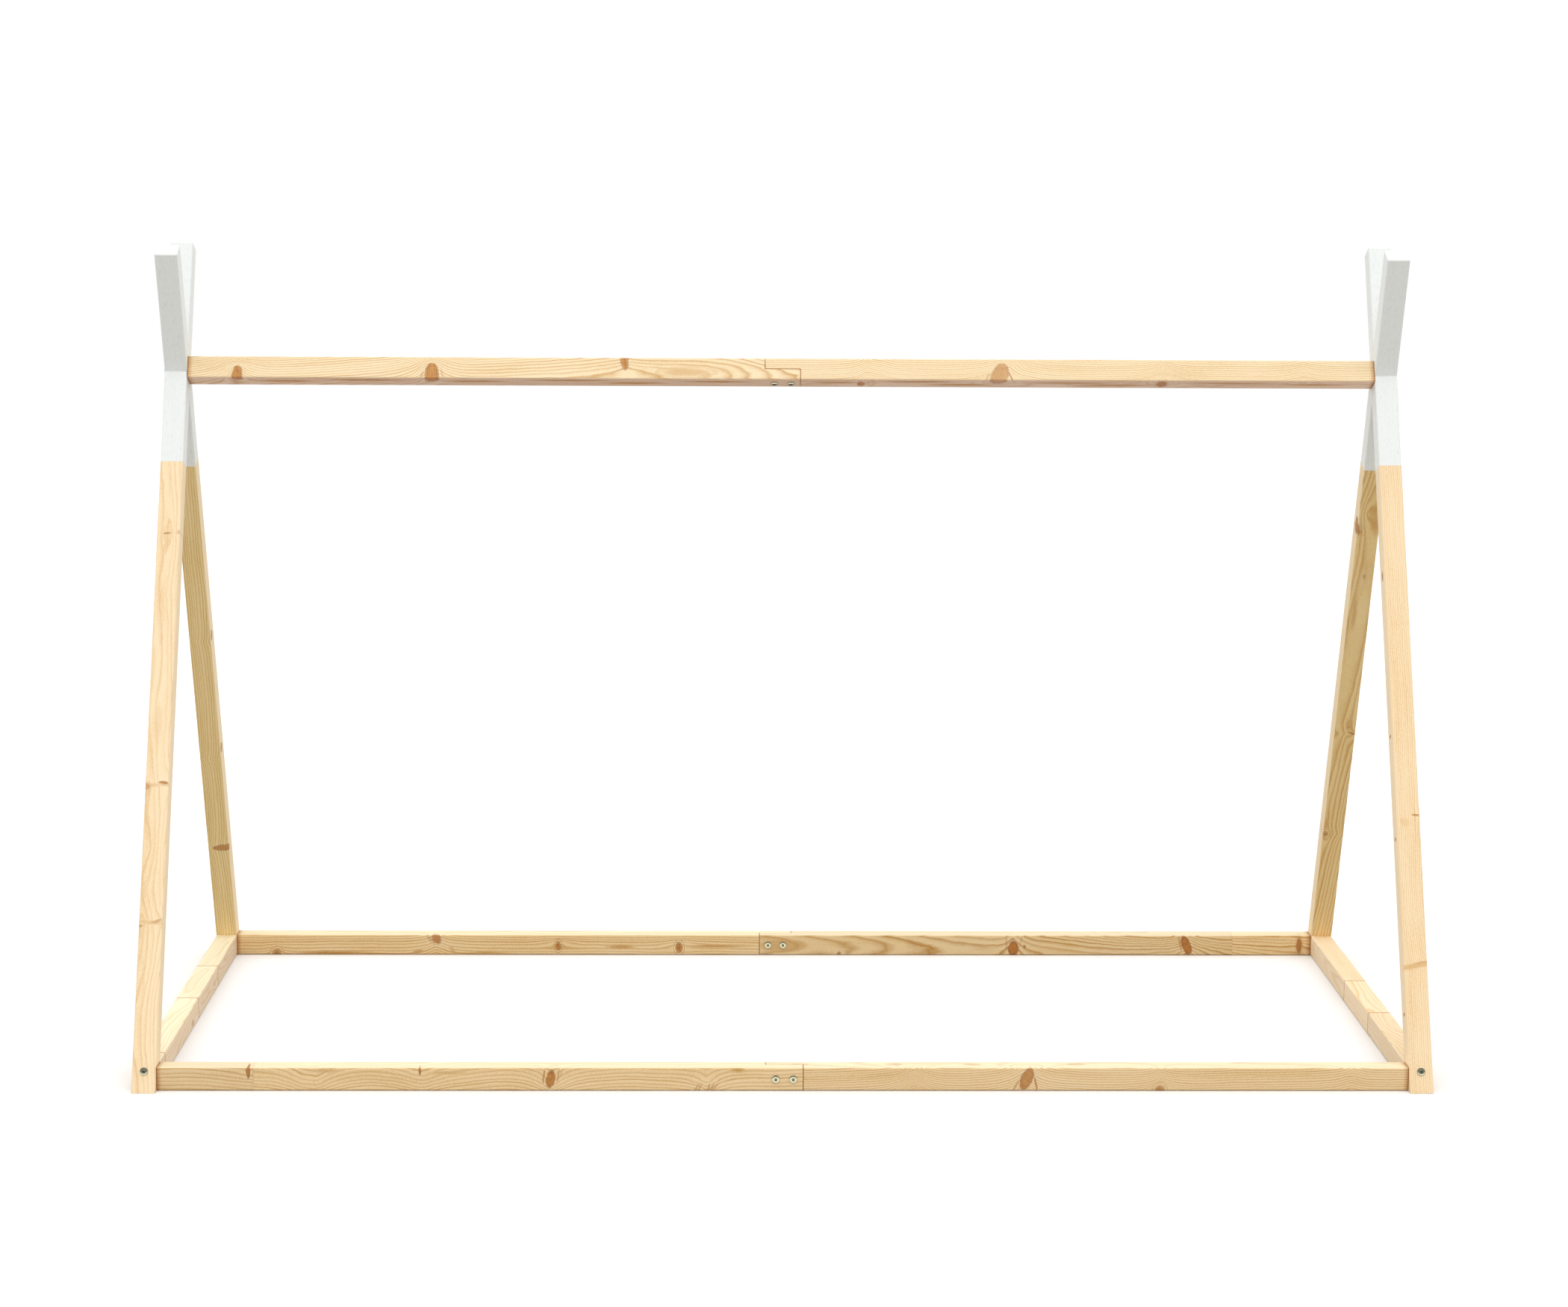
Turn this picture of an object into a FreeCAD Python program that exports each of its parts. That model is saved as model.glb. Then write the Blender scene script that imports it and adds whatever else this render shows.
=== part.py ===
"""Tipi floor-bed frame in square planed pine, put together from lapped and screwed lengths.

Frame: +X along the bed, +Y from the front side to the rear side, +Z up.
Origin: on the floor, in the middle of the bed. All sizes are in millimetres.
"""
import FreeCAD
import Part
import math
import os

# Mattress bay
MATTRESS_LENGTH = 2000.0
MATTRESS_WIDTH = 900.0
MATTRESS_PLAY = 10.0

# Timber
SECTION = 38.0
EDGE_ROUND = 2.5
TIP_CHAMFER = 1.5

# Legs, whose tips reach past the crossing
LEG_LEAN = 23.6
TIP_REACH = 224.6

# Laps in the middle of the rails and the ridge
LAP_LENGTH = 60.0
LAP_CORNER = 3.0
LAP_SCREW_SPACING = 28.0

# Gaps and fits
BUTT_GAP = 0.2
LAP_GAP = 0.4
HEAD_GAP = 0.1
SHANK_CLEARANCE = 0.3
PILOT_CLEARANCE = 0.1
HOLE_END_PLAY = 0.5

# Round-headed furniture screws with a hexagonal key socket
SCREW_DIAMETER = 6.0
HEAD_DIAMETER = 12.4
HEAD_HEIGHT = 2.8
SOCKET_FLATS = 4.0
SOCKET_DEPTH = 2.4

# How far each screw reaches into the piece that it holds
LAP_SCREW_REACH = 13.0
FOOT_SCREW_REACH = 25.0
RAIL_SCREW_REACH = 42.0
RIDGE_SCREW_REACH = 42.0

# Where the screws cross the joints at the feet
FOOT_SCREW_HEIGHT = 17.0
RAIL_SCREW_HEIGHT = 11.0
RAIL_SCREW_SETBACK = 17.0

# Sizes that follow from the ones above
HALF = SECTION / 2
LEAN = math.radians(LEG_LEAN)
INNER_X = (MATTRESS_LENGTH + MATTRESS_PLAY) / 2
RAIL_INNER_Y = (MATTRESS_WIDTH + MATTRESS_PLAY) / 2
RAIL_OUTER_Y = RAIL_INNER_Y + SECTION
FOOT_Y = RAIL_OUTER_Y + SECTION * math.tan(LEAN)
CROSSING_HEIGHT = (FOOT_Y - HALF / math.cos(LEAN)) / math.tan(LEAN)
LEG_LENGTH = (CROSSING_HEIGHT + HALF * math.sin(LEAN)) / math.cos(LEAN) + TIP_REACH
SCREW_RADIUS = SCREW_DIAMETER / 2
HEAD_RADIUS = HEAD_DIAMETER / 2

CENTRE = FreeCAD.Vector(0, 0, 0)
X_AXIS = FreeCAD.Vector(1, 0, 0)
Y_AXIS = FreeCAD.Vector(0, 1, 0)
Z_AXIS = FreeCAD.Vector(0, 0, 1)
SIDES = ("left", "right")
ROWS = ("front", "rear")

# A leg's own frame: X across it, Y from its outer face to its inner face, Z up along the leg.
LEG_FRAME = FreeCAD.Placement(
    FreeCAD.Vector(INNER_X, -FOOT_Y, 0), FreeCAD.Rotation(X_AXIS, -LEG_LEAN))
# The ridge's own frame: X along it, on the axis of the crossings, Z square to its top face.
RIDGE_FRAME = FreeCAD.Placement(
    FreeCAD.Vector(0, 0, CROSSING_HEIGHT), FreeCAD.Rotation(X_AXIS, -LEG_LEAN))
# A long rail's own frame: X along it, Y up, Z towards its outer face.
RAIL_FRAME = FreeCAD.Placement(
    FreeCAD.Vector(0, HALF - RAIL_OUTER_Y, HALF), FreeCAD.Rotation(X_AXIS, 90))


def in_frame(shape, frame):
    """A copy of a shape, carried from a piece's own frame into the bed's frame."""
    moved = shape.copy()
    moved.Placement = frame.multiply(moved.Placement)
    return moved


def at_corner(shape, side, row="front"):
    """A shape made for the front right corner, mirrored to another corner."""
    moved = shape.copy()
    if side == "left":
        moved = moved.mirror(CENTRE, X_AXIS)
    if row == "rear":
        moved = moved.mirror(CENTRE, Y_AXIS)
    return moved


def polygon_face(points):
    """A flat face inside a closed run of straight edges."""
    return Part.Face(Part.makePolygon(points + points[:1]))


def short_arc(centre, start, end):
    """The round edge from one point to another about a centre, the short way."""
    middle = (start + end) * 0.5 - centre
    radius = (start - centre).Length
    return Part.Arc(start, centre + middle.normalize() * radius, end).toShape()


def rounded_square():
    """The timber's section, in the XY plane, centred on the origin."""
    edges = []
    reach = HALF - EDGE_ROUND
    for quarter in range(4):
        turn = FreeCAD.Rotation(Z_AXIS, 90 * quarter)
        corner = turn.multVec(FreeCAD.Vector(reach, reach, 0))
        side = turn.multVec(FreeCAD.Vector(HALF, -reach, 0))
        start = turn.multVec(FreeCAD.Vector(HALF, reach, 0))
        end = turn.multVec(FreeCAD.Vector(reach, HALF, 0))
        edges.append(Part.makeLine(side, start))
        edges.append(short_arc(corner, start, end))
    return Part.Face(Part.Wire(edges))


def timber(start, end):
    """A length of square timber along +Z, centred on the Z axis."""
    face = rounded_square()
    face.translate(Z_AXIS * start)
    return face.extrude(Z_AXIS * (end - start))


def screw(length):
    """A screw along +Z, with the underside of its round head at the origin."""
    crown = FreeCAD.Vector(0, 0, -HEAD_HEIGHT)
    outline = [
        crown,
        FreeCAD.Vector(HEAD_RADIUS, 0, -HEAD_HEIGHT),
        FreeCAD.Vector(HEAD_RADIUS, 0, 0),
        FreeCAD.Vector(SCREW_RADIUS, 0, 0),
        FreeCAD.Vector(SCREW_RADIUS, 0, length),
        FreeCAD.Vector(0, 0, length),
    ]
    body = polygon_face(outline).revolve(CENTRE, Z_AXIS, 360)
    corner = SOCKET_FLATS / 2 / math.cos(math.pi / 6)
    turns = [math.pi / 3 * step for step in range(6)]
    hexagon = polygon_face([FreeCAD.Vector(corner * math.cos(t), corner * math.sin(t), 0) for t in turns])
    hexagon.translate(crown)
    return body.cut(hexagon.extrude(Z_AXIS * SOCKET_DEPTH))


class ScrewSeat:
    """One screw's place: a point on the face where it goes in, its direction and the joint that it crosses."""

    def __init__(self, point, direction, through, reach):
        self.point = point
        self.direction = direction
        self.through = through
        self.reach = reach

    def screw(self):
        """The screw, with its head seated on the face."""
        shape = screw(HEAD_GAP + self.through + self.reach)
        seat = self.point - self.direction * HEAD_GAP
        shape.Placement = FreeCAD.Placement(seat, FreeCAD.Rotation(Z_AXIS, self.direction))
        return shape

    def clearance(self):
        """The free hole through the piece under the head."""
        return Part.makeCylinder(SCREW_RADIUS + SHANK_CLEARANCE, self.through, self.point, self.direction)

    def pilot(self):
        """The blind hole that the screw bites into, beyond the joint."""
        start = self.point + self.direction * self.through
        depth = self.reach + HOLE_END_PLAY
        return Part.makeCylinder(SCREW_RADIUS + PILOT_CLEARANCE, depth, start, self.direction)


def foot_seat():
    """The screw from a leg's outer face, square through the leg into the end rail, in the leg's frame."""
    up_the_leg = (FOOT_SCREW_HEIGHT + SECTION * math.sin(LEAN)) / math.cos(LEAN)
    point = FreeCAD.Vector(HALF, 0, up_the_leg)
    return ScrewSeat(point, Y_AXIS, SECTION + BUTT_GAP, FOOT_SCREW_REACH)


def rail_seat():
    """The screw from the front right leg's side into the end of the front rail."""
    outer_face = INNER_X + SECTION
    point = FreeCAD.Vector(outer_face, RAIL_SCREW_SETBACK - RAIL_OUTER_Y, RAIL_SCREW_HEIGHT)
    return ScrewSeat(point, X_AXIS * -1, SECTION + BUTT_GAP, RAIL_SCREW_REACH)


def ridge_seat():
    """The screw through the right crossing into the end of the ridge, in the ridge's frame."""
    point = X_AXIS * (INNER_X + SECTION)
    return ScrewSeat(point, X_AXIS * -1, SECTION + BUTT_GAP, RIDGE_SCREW_REACH)


def lap_seats(heads):
    """The two screws through a lap, with their heads on the -Z or +Z side of the beam's own frame."""
    seats = []
    for place in (-LAP_SCREW_SPACING / 2, LAP_SCREW_SPACING / 2):
        point = FreeCAD.Vector(place, 0, heads * HALF)
        seats.append(ScrewSeat(point, Z_AXIS * -heads, HALF, LAP_SCREW_REACH))
    return seats


def tip_waste():
    """What the chamfer round a leg's tip takes from one side of the stick."""
    inner = FreeCAD.Vector(HALF - 2 * TIP_CHAMFER, -SECTION, LEG_LENGTH + TIP_CHAMFER)
    lower = FreeCAD.Vector(HALF + TIP_CHAMFER, -SECTION, LEG_LENGTH - 2 * TIP_CHAMFER)
    outer = FreeCAD.Vector(HALF + TIP_CHAMFER, -SECTION, LEG_LENGTH + TIP_CHAMFER)
    return polygon_face([inner, lower, outer]).extrude(Y_AXIS * 2 * SECTION)


def leg_blank():
    """The front right leg before its joints: square at the tip, cut level at the floor."""
    chamfers = []
    for quarter in range(4):
        chamfer = tip_waste()
        chamfer.rotate(CENTRE, Z_AXIS, 90 * quarter)
        chamfers.append(chamfer)
    stick = timber(-SECTION, LEG_LENGTH).cut(chamfers)
    stick.translate(FreeCAD.Vector(HALF, HALF, 0))
    below_floor = Part.makeBox(
        3 * SECTION, 6 * SECTION, 2 * SECTION,
        FreeCAD.Vector(INNER_X - SECTION, -FOOT_Y - 3 * SECTION, -2 * SECTION))
    return in_frame(stick, LEG_FRAME).cut(below_floor)


def lap_notch(row):
    """What the other leg of the right pair takes from the front or the rear leg."""
    depth = HALF + LAP_GAP / 2
    inner_start = depth - SECTION if row == "front" else SECTION - depth
    corner = FreeCAD.Vector(inner_start, -LAP_GAP / 2, 0)
    block = in_frame(Part.makeBox(SECTION, SECTION + LAP_GAP, LEG_LENGTH, corner), LEG_FRAME)
    return at_corner(block, "right", "rear") if row == "front" else block


def leg(side, row):
    """A leg, notched for its partner on the inner half in front and on the outer half behind."""
    foot_hole = in_frame(foot_seat().clearance(), LEG_FRAME)
    blank = leg_blank().cut([foot_hole, rail_seat().clearance()])
    crossing_hole = in_frame(ridge_seat().clearance(), RIDGE_FRAME)
    shape = at_corner(blank, "right", row).cut([lap_notch(row), crossing_hole])
    return at_corner(shape, side)


def lap_waste(tongue):
    """What the lap takes from the +X half of a beam whose tongue lies on the -Z or +Z side."""
    left = -2 * LAP_LENGTH
    tongue_end = (LAP_GAP - LAP_LENGTH) / 2
    shoulder = (LAP_GAP + LAP_LENGTH) / 2
    seam = tongue * LAP_GAP / 2
    bend = tongue * LAP_CORNER
    far = tongue * SECTION
    tip_start = FreeCAD.Vector(tongue_end, 0, seam + bend)
    tip_end = FreeCAD.Vector(tongue_end + LAP_CORNER, 0, seam)
    tip_centre = FreeCAD.Vector(tongue_end + LAP_CORNER, 0, seam + bend)
    root_start = FreeCAD.Vector(shoulder - LAP_CORNER, 0, seam)
    root_end = FreeCAD.Vector(shoulder, 0, seam - bend)
    root_centre = FreeCAD.Vector(shoulder - LAP_CORNER, 0, seam - bend)
    outer = [
        root_end,
        FreeCAD.Vector(shoulder, 0, -far),
        FreeCAD.Vector(left, 0, -far),
        FreeCAD.Vector(left, 0, far),
        FreeCAD.Vector(tongue_end, 0, far),
        tip_start,
    ]
    edges = Part.makePolygon(outer).Edges
    edges.append(short_arc(tip_centre, tip_start, tip_end))
    edges.append(Part.makeLine(tip_end, root_start))
    edges.append(short_arc(root_centre, root_start, root_end))
    waste = Part.Face(Part.Wire(edges)).extrude(Y_AXIS * 2 * SECTION)
    waste.translate(Y_AXIS * -SECTION)
    return waste


def half_beam(tongue, heads):
    """The +X half of a lapped beam, in the beam's own frame, with its lap's screw holes."""
    bar = timber(-LAP_LENGTH, INNER_X - BUTT_GAP)
    bar.rotate(CENTRE, Y_AXIS, 90)
    seats = lap_seats(heads)
    holes = [seat.clearance() if tongue == heads else seat.pilot() for seat in seats]
    return bar.cut([lap_waste(tongue)] + holes)


def half_rail(side, row):
    """Half of a long rail: at the lap the left half lies outside and the right half inside."""
    tongue = 1 if side == "left" else -1
    heads = 1 if row == "front" else -1
    shape = in_frame(half_beam(tongue, heads), RAIL_FRAME).cut(rail_seat().pilot())
    return at_corner(shape, side, row)


def half_ridge(side):
    """Half of the ridge: at the lap the left half lies under the right half."""
    tongue = -1 if side == "left" else 1
    shape = half_beam(tongue, -1).cut(ridge_seat().pilot())
    return in_frame(at_corner(shape, side), RIDGE_FRAME)


def end_rail(side):
    """A rail across one end, with both ends bevelled to lie against the legs' inner faces."""
    bar = timber(-FOOT_Y, FOOT_Y)
    bar.rotate(CENTRE, X_AXIS, 90)
    bar.translate(FreeCAD.Vector(INNER_X + HALF, 0, HALF))
    leg_space = Part.makeBox(
        3 * SECTION, 3 * SECTION + BUTT_GAP, 4 * SECTION, FreeCAD.Vector(-SECTION, -2 * SECTION, -SECTION))
    front_cuts = [in_frame(cut, LEG_FRAME) for cut in (leg_space, foot_seat().pilot())]
    rear_cuts = [at_corner(cut, "right", "rear") for cut in front_cuts]
    return at_corner(bar.cut(front_cuts + rear_cuts), side)


def lap_screws(number):
    """The left (0) or right (1) screws of the three laps."""
    front = in_frame(lap_seats(1)[number].screw(), RAIL_FRAME)
    rear = at_corner(in_frame(lap_seats(-1)[number].screw(), RAIL_FRAME), "right", "rear")
    ridge = in_frame(lap_seats(-1)[number].screw(), RIDGE_FRAME)
    return Part.makeCompound([front, rear, ridge])


def bed():
    """Every piece of the bed by name, with identical screws in groups."""
    foot_screw = in_frame(foot_seat().screw(), LEG_FRAME)
    ridge_screw = in_frame(ridge_seat().screw(), RIDGE_FRAME)
    pieces = {}
    for number, side in enumerate(SIDES):
        for row in ROWS:
            pieces[f"{row}_{side}_leg"] = leg(side, row)
            pieces[f"{row}_rail_{side}_half"] = half_rail(side, row)
        pieces[f"{side}_end_rail"] = end_rail(side)
        pieces[f"ridge_{side}_half"] = half_ridge(side)
        pieces[f"{side}_foot_screws"] = Part.makeCompound([at_corner(foot_screw, side, row) for row in ROWS])
        pieces[f"{side}_rail_screws"] = Part.makeCompound(
            [at_corner(rail_seat().screw(), side, row) for row in ROWS])
        pieces[f"{side}_lap_screws"] = lap_screws(number)
        pieces[f"{side}_ridge_screw"] = at_corner(ridge_screw, side)
    return pieces


os.makedirs("parts", exist_ok=True)
for node, shape in bed().items():
    shape.exportStep(f"parts/{node}.step")
    print(f"{node:24s} {shape.Volume:12.1f} mm3, valid {shape.isValid()}, solids {len(shape.Solids)}")
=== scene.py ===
"""Looks of a tipi-style floor bed for a child: knotty pine, white leg tips and nickel screws."""

import logging
import math
from dataclasses import dataclass
from enum import Enum

import bmesh
import bpy
from mathutils import Matrix, Vector


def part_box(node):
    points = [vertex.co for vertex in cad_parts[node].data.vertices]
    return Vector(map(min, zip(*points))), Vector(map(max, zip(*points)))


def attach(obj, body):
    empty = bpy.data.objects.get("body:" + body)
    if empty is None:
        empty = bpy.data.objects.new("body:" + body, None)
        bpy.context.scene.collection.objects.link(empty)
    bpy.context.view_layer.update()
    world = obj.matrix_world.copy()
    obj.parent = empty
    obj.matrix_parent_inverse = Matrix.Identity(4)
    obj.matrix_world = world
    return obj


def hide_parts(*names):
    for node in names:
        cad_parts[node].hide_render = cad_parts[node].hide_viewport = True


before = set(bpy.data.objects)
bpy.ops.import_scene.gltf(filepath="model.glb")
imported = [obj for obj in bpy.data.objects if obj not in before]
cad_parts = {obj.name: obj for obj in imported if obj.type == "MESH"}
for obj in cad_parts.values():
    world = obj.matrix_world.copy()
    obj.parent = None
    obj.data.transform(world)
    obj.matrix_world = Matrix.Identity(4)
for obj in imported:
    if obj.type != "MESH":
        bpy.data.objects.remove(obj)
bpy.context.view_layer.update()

ROOT_BODY = "root"
MM = 0.001

X_AXIS = Vector((1.0, 0.0, 0.0))
Y_AXIS = Vector((0.0, 1.0, 0.0))
Z_AXIS = Vector((0.0, 0.0, 1.0))

LEG_LEAN = math.radians(23.6)
FRONT_LEG_RUN = Vector((0.0, math.sin(LEG_LEAN), math.cos(LEG_LEAN)))
FRONT_LEG_OUT = Vector((0.0, -math.cos(LEG_LEAN), math.sin(LEG_LEAN)))
REAR_LEG_RUN = Vector((0.0, -math.sin(LEG_LEAN), math.cos(LEG_LEAN)))
REAR_LEG_IN = Vector((0.0, -math.cos(LEG_LEAN), -math.sin(LEG_LEAN)))

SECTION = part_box("left_end_rail")[1].z
HALF = SECTION / 2
HALF_MM = HALF / MM
INNER_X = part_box("right_end_rail")[0].x
OUTER_X = INNER_X + SECTION
RAIL_OUTER_Y = -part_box("front_rail_left_half")[0].y
FOOT_Y = -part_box("front_left_leg")[0].y
RIDGE_HEIGHT = sum(corner.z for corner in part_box("ridge_left_half")) / 2
LAP_LENGTH_MM = 60.0
FRONT_PAINT_LINE_MM = 1061.0
REAR_PAINT_LINE_MM = 1054.0

KNOT_MARKS = ("Bulge", "Core", "Rim", "Whorl", "Halo", "Stain")
GLUE_JOINTS = ("First", "Second", "Third")
WHITE = (1.0, 1.0, 1.0, 1.0)

Tone = tuple[float, float, float, float]
Tree = bpy.types.NodeTree
Socket = bpy.types.NodeSocket
Sockets = bpy.types.bpy_prop_collection
Feed = Socket | float | tuple[float, ...] | Vector

log = logging.getLogger("tipi_bed")


def colour(code: str) -> Tone:
    """Turns a hex colour into the linear values that shaders use.

    Args:
        code: Six hex digits, red first.

    Returns:
        Linear red, green and blue, with an alpha of 1.
    """
    parts = [int(code[k:k + 2], 16) / 255 for k in (0, 2, 4)]
    linear = [p / 12.92 if p <= 0.04045 else ((p + 0.055) / 1.055) ** 2.4 for p in parts]
    return (*linear, 1.0)


def new_object(name: str, data: bpy.types.ID) -> bpy.types.Object:
    """Makes an object of a mesh, lamp or camera and links it to the scene."""
    item = bpy.data.objects.new(name, data)
    bpy.context.scene.collection.objects.link(item)
    return item


class Kind(Enum):
    """Kinds of socket on a node group."""

    VALUE = "NodeSocketFloat"
    VECTOR = "NodeSocketVector"
    COLOUR = "NodeSocketColor"


class Face(Enum):
    """Faces of a stick, as directions in (along, across, outward)."""

    FRONT = (0.0, 0.0, 1.0)
    BACK = (0.0, 0.0, -1.0)
    UPPER = (0.0, 1.0, 0.0)
    LOWER = (0.0, -1.0, 0.0)


class Side(Enum):
    """Ends of the bed, as signs along X."""

    LEFT = -1
    RIGHT = 1

    @property
    def word(self) -> str:
        """The side as it stands in names."""
        return self.name.lower()


class Row(Enum):
    """Long sides of the bed, as signs along Y."""

    FRONT = -1
    REAR = 1


class NodeSheet:
    """A node tree with short ways to add sums, noises and mixes to it."""

    NODES_PER_ROW = 12
    NODE_STEP = (190.0, -320.0)
    NOISE_ROUGHNESS = 0.55

    def __init__(self, tree: Tree) -> None:
        """Starts with no node placed."""
        self.tree = tree
        self.placed = 0

    def node(self, kind: str, **settings: object) -> bpy.types.Node:
        """Adds one node.

        Args:
            kind: Blender's name for the node type.
            settings: Properties to set on it.

        Returns:
            The new node.
        """
        node = self.tree.nodes.new(kind)
        row, column = divmod(self.placed, self.NODES_PER_ROW)
        node.location = (column * self.NODE_STEP[0], row * self.NODE_STEP[1])
        self.placed += 1
        for name, value in settings.items():
            setattr(node, name, value)
        return node

    def own(self, name: str) -> bpy.types.Node:
        """A node that the tree was made with."""
        return self.tree.nodes[name]

    def feed(self, socket: Socket, value: Feed) -> None:
        """Links a socket to another, or sets its own value."""
        if isinstance(value, bpy.types.NodeSocket):
            self.tree.links.new(value, socket)
        else:
            socket.default_value = value

    def fill(self, node: bpy.types.Node, values: dict[str | int, Feed]) -> None:
        """Feeds several inputs of a node by name or number."""
        for name, value in values.items():
            self.feed(node.inputs[name], value)

    def math(self, operation: str, *values: Feed) -> Socket:
        """Adds a Math node and returns its result."""
        node = self.node("ShaderNodeMath", operation=operation)
        self.fill(node, dict(enumerate(values)))
        return node.outputs[0]

    def plus(self, first: Feed, second: Feed) -> Socket:
        """The sum of two values."""
        return self.math("ADD", first, second)

    def minus(self, first: Feed, second: Feed) -> Socket:
        """The first value less the second."""
        return self.math("SUBTRACT", first, second)

    def rest(self, value: Feed) -> Socket:
        """What a value leaves of 1."""
        return self.minus(1.0, value)

    def times(self, first: Feed, second: Feed) -> Socket:
        """The product of two values."""
        return self.math("MULTIPLY", first, second)

    def over(self, first: Feed, second: Feed) -> Socket:
        """The first value divided by the second."""
        return self.math("DIVIDE", first, second)

    def weighed(self, value: Feed, weight: Feed, base: Feed) -> Socket:
        """A value times a weight, added to a base."""
        return self.math("MULTIPLY_ADD", value, weight, base)

    def most(self, first: Feed, second: Feed) -> Socket:
        """The larger of two values."""
        return self.math("MAXIMUM", first, second)

    def size(self, value: Feed) -> Socket:
        """A value without its sign."""
        return self.math("ABSOLUTE", value)

    def clamp(self, value: Feed, low: float, high: float) -> Socket:
        """Keeps a value between two limits."""
        return self.math("MINIMUM", self.most(value, low), high)

    def vector(self, operation: str, *values: Feed) -> Socket:
        """Adds a Vector Math node and returns its vector or its value."""
        node = self.node("ShaderNodeVectorMath", operation=operation)
        self.fill(node, dict(enumerate(values)))
        plain = operation in ("DOT_PRODUCT", "LENGTH")
        return node.outputs["Value" if plain else "Vector"]

    def scaled(self, vector: Feed, factor: Feed) -> Socket:
        """Multiplies a vector by one number."""
        node = self.node("ShaderNodeVectorMath", operation="SCALE")
        self.fill(node, {0: vector, "Scale": factor})
        return node.outputs["Vector"]

    def join(self, x: Feed, y: Feed, z: Feed) -> Socket:
        """Makes a vector of three values."""
        node = self.node("ShaderNodeCombineXYZ")
        self.fill(node, {0: x, 1: y, 2: z})
        return node.outputs[0]

    def grey(self, value: Feed) -> Socket:
        """Makes a vector or a colour of one value three times."""
        return self.join(value, value, value)

    def split(self, vector: Feed) -> list[Socket]:
        """Takes a vector apart into its three values."""
        node = self.node("ShaderNodeSeparateXYZ")
        self.feed(node.inputs[0], vector)
        return list(node.outputs)

    def noise(self, place: Feed, detail: float = 2.0, as_colour: bool = False) -> Socket:
        """Adds smooth noise of one unit in size, from 0 to 1.

        Args:
            place: Where the noise is read.
            detail: How many finer layers it has.
            as_colour: Whether three noises are wanted in place of one.

        Returns:
            The noise as a value, or as a colour.
        """
        node = self.node("ShaderNodeTexNoise", noise_dimensions="3D")
        self.fill(node, {"Vector": place, "Scale": 1.0, "Detail": detail, "Roughness": self.NOISE_ROUGHNESS})
        return node.outputs[1 if as_colour else 0]

    def smooth(self, value: Feed, low: Feed, high: Feed) -> Socket:
        """Rises softly from 0 at low to 1 at high."""
        node = self.node("ShaderNodeMapRange", interpolation_type="SMOOTHSTEP")
        self.fill(node, {"Value": value, "From Min": low, "From Max": high})
        return node.outputs["Result"]

    def ramp(self, value: Feed, stops: tuple[tuple[float, float], ...]) -> Socket:
        """Turns a value into another by a list of (place, level) stops."""
        node = self.node("ShaderNodeValToRGB")
        elements = node.color_ramp.elements
        while len(elements) < len(stops):
            elements.new(0.5)
        for element, (place, level) in zip(elements, stops):
            element.position = place
            element.color = (level, level, level, 1.0)
        self.feed(node.inputs[0], value)
        return node.outputs[0]

    def mix(self, share: Feed, first: Feed, second: Feed, blend: str = "MIX") -> Socket:
        """Mixes two colours by a share of the second."""
        node = self.node("ShaderNodeMix", data_type="RGBA", blend_type=blend)
        self.fill(node, {0: share, 6: first, 7: second})
        return node.outputs[2]

    def group(self, tree: Tree, values: dict[str, Feed]) -> Sockets:
        """Places a node group, feeds its inputs by name and returns its outputs."""
        node = self.node("ShaderNodeGroup", node_tree=tree)
        self.fill(node, values)
        return node.outputs


def new_material(name: str) -> tuple[bpy.types.Material, NodeSheet]:
    """Starts a material, with a sheet to draw its nodes on."""
    material = bpy.data.materials.new(name)
    material.use_nodes = True
    return material, NodeSheet(material.node_tree)


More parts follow.
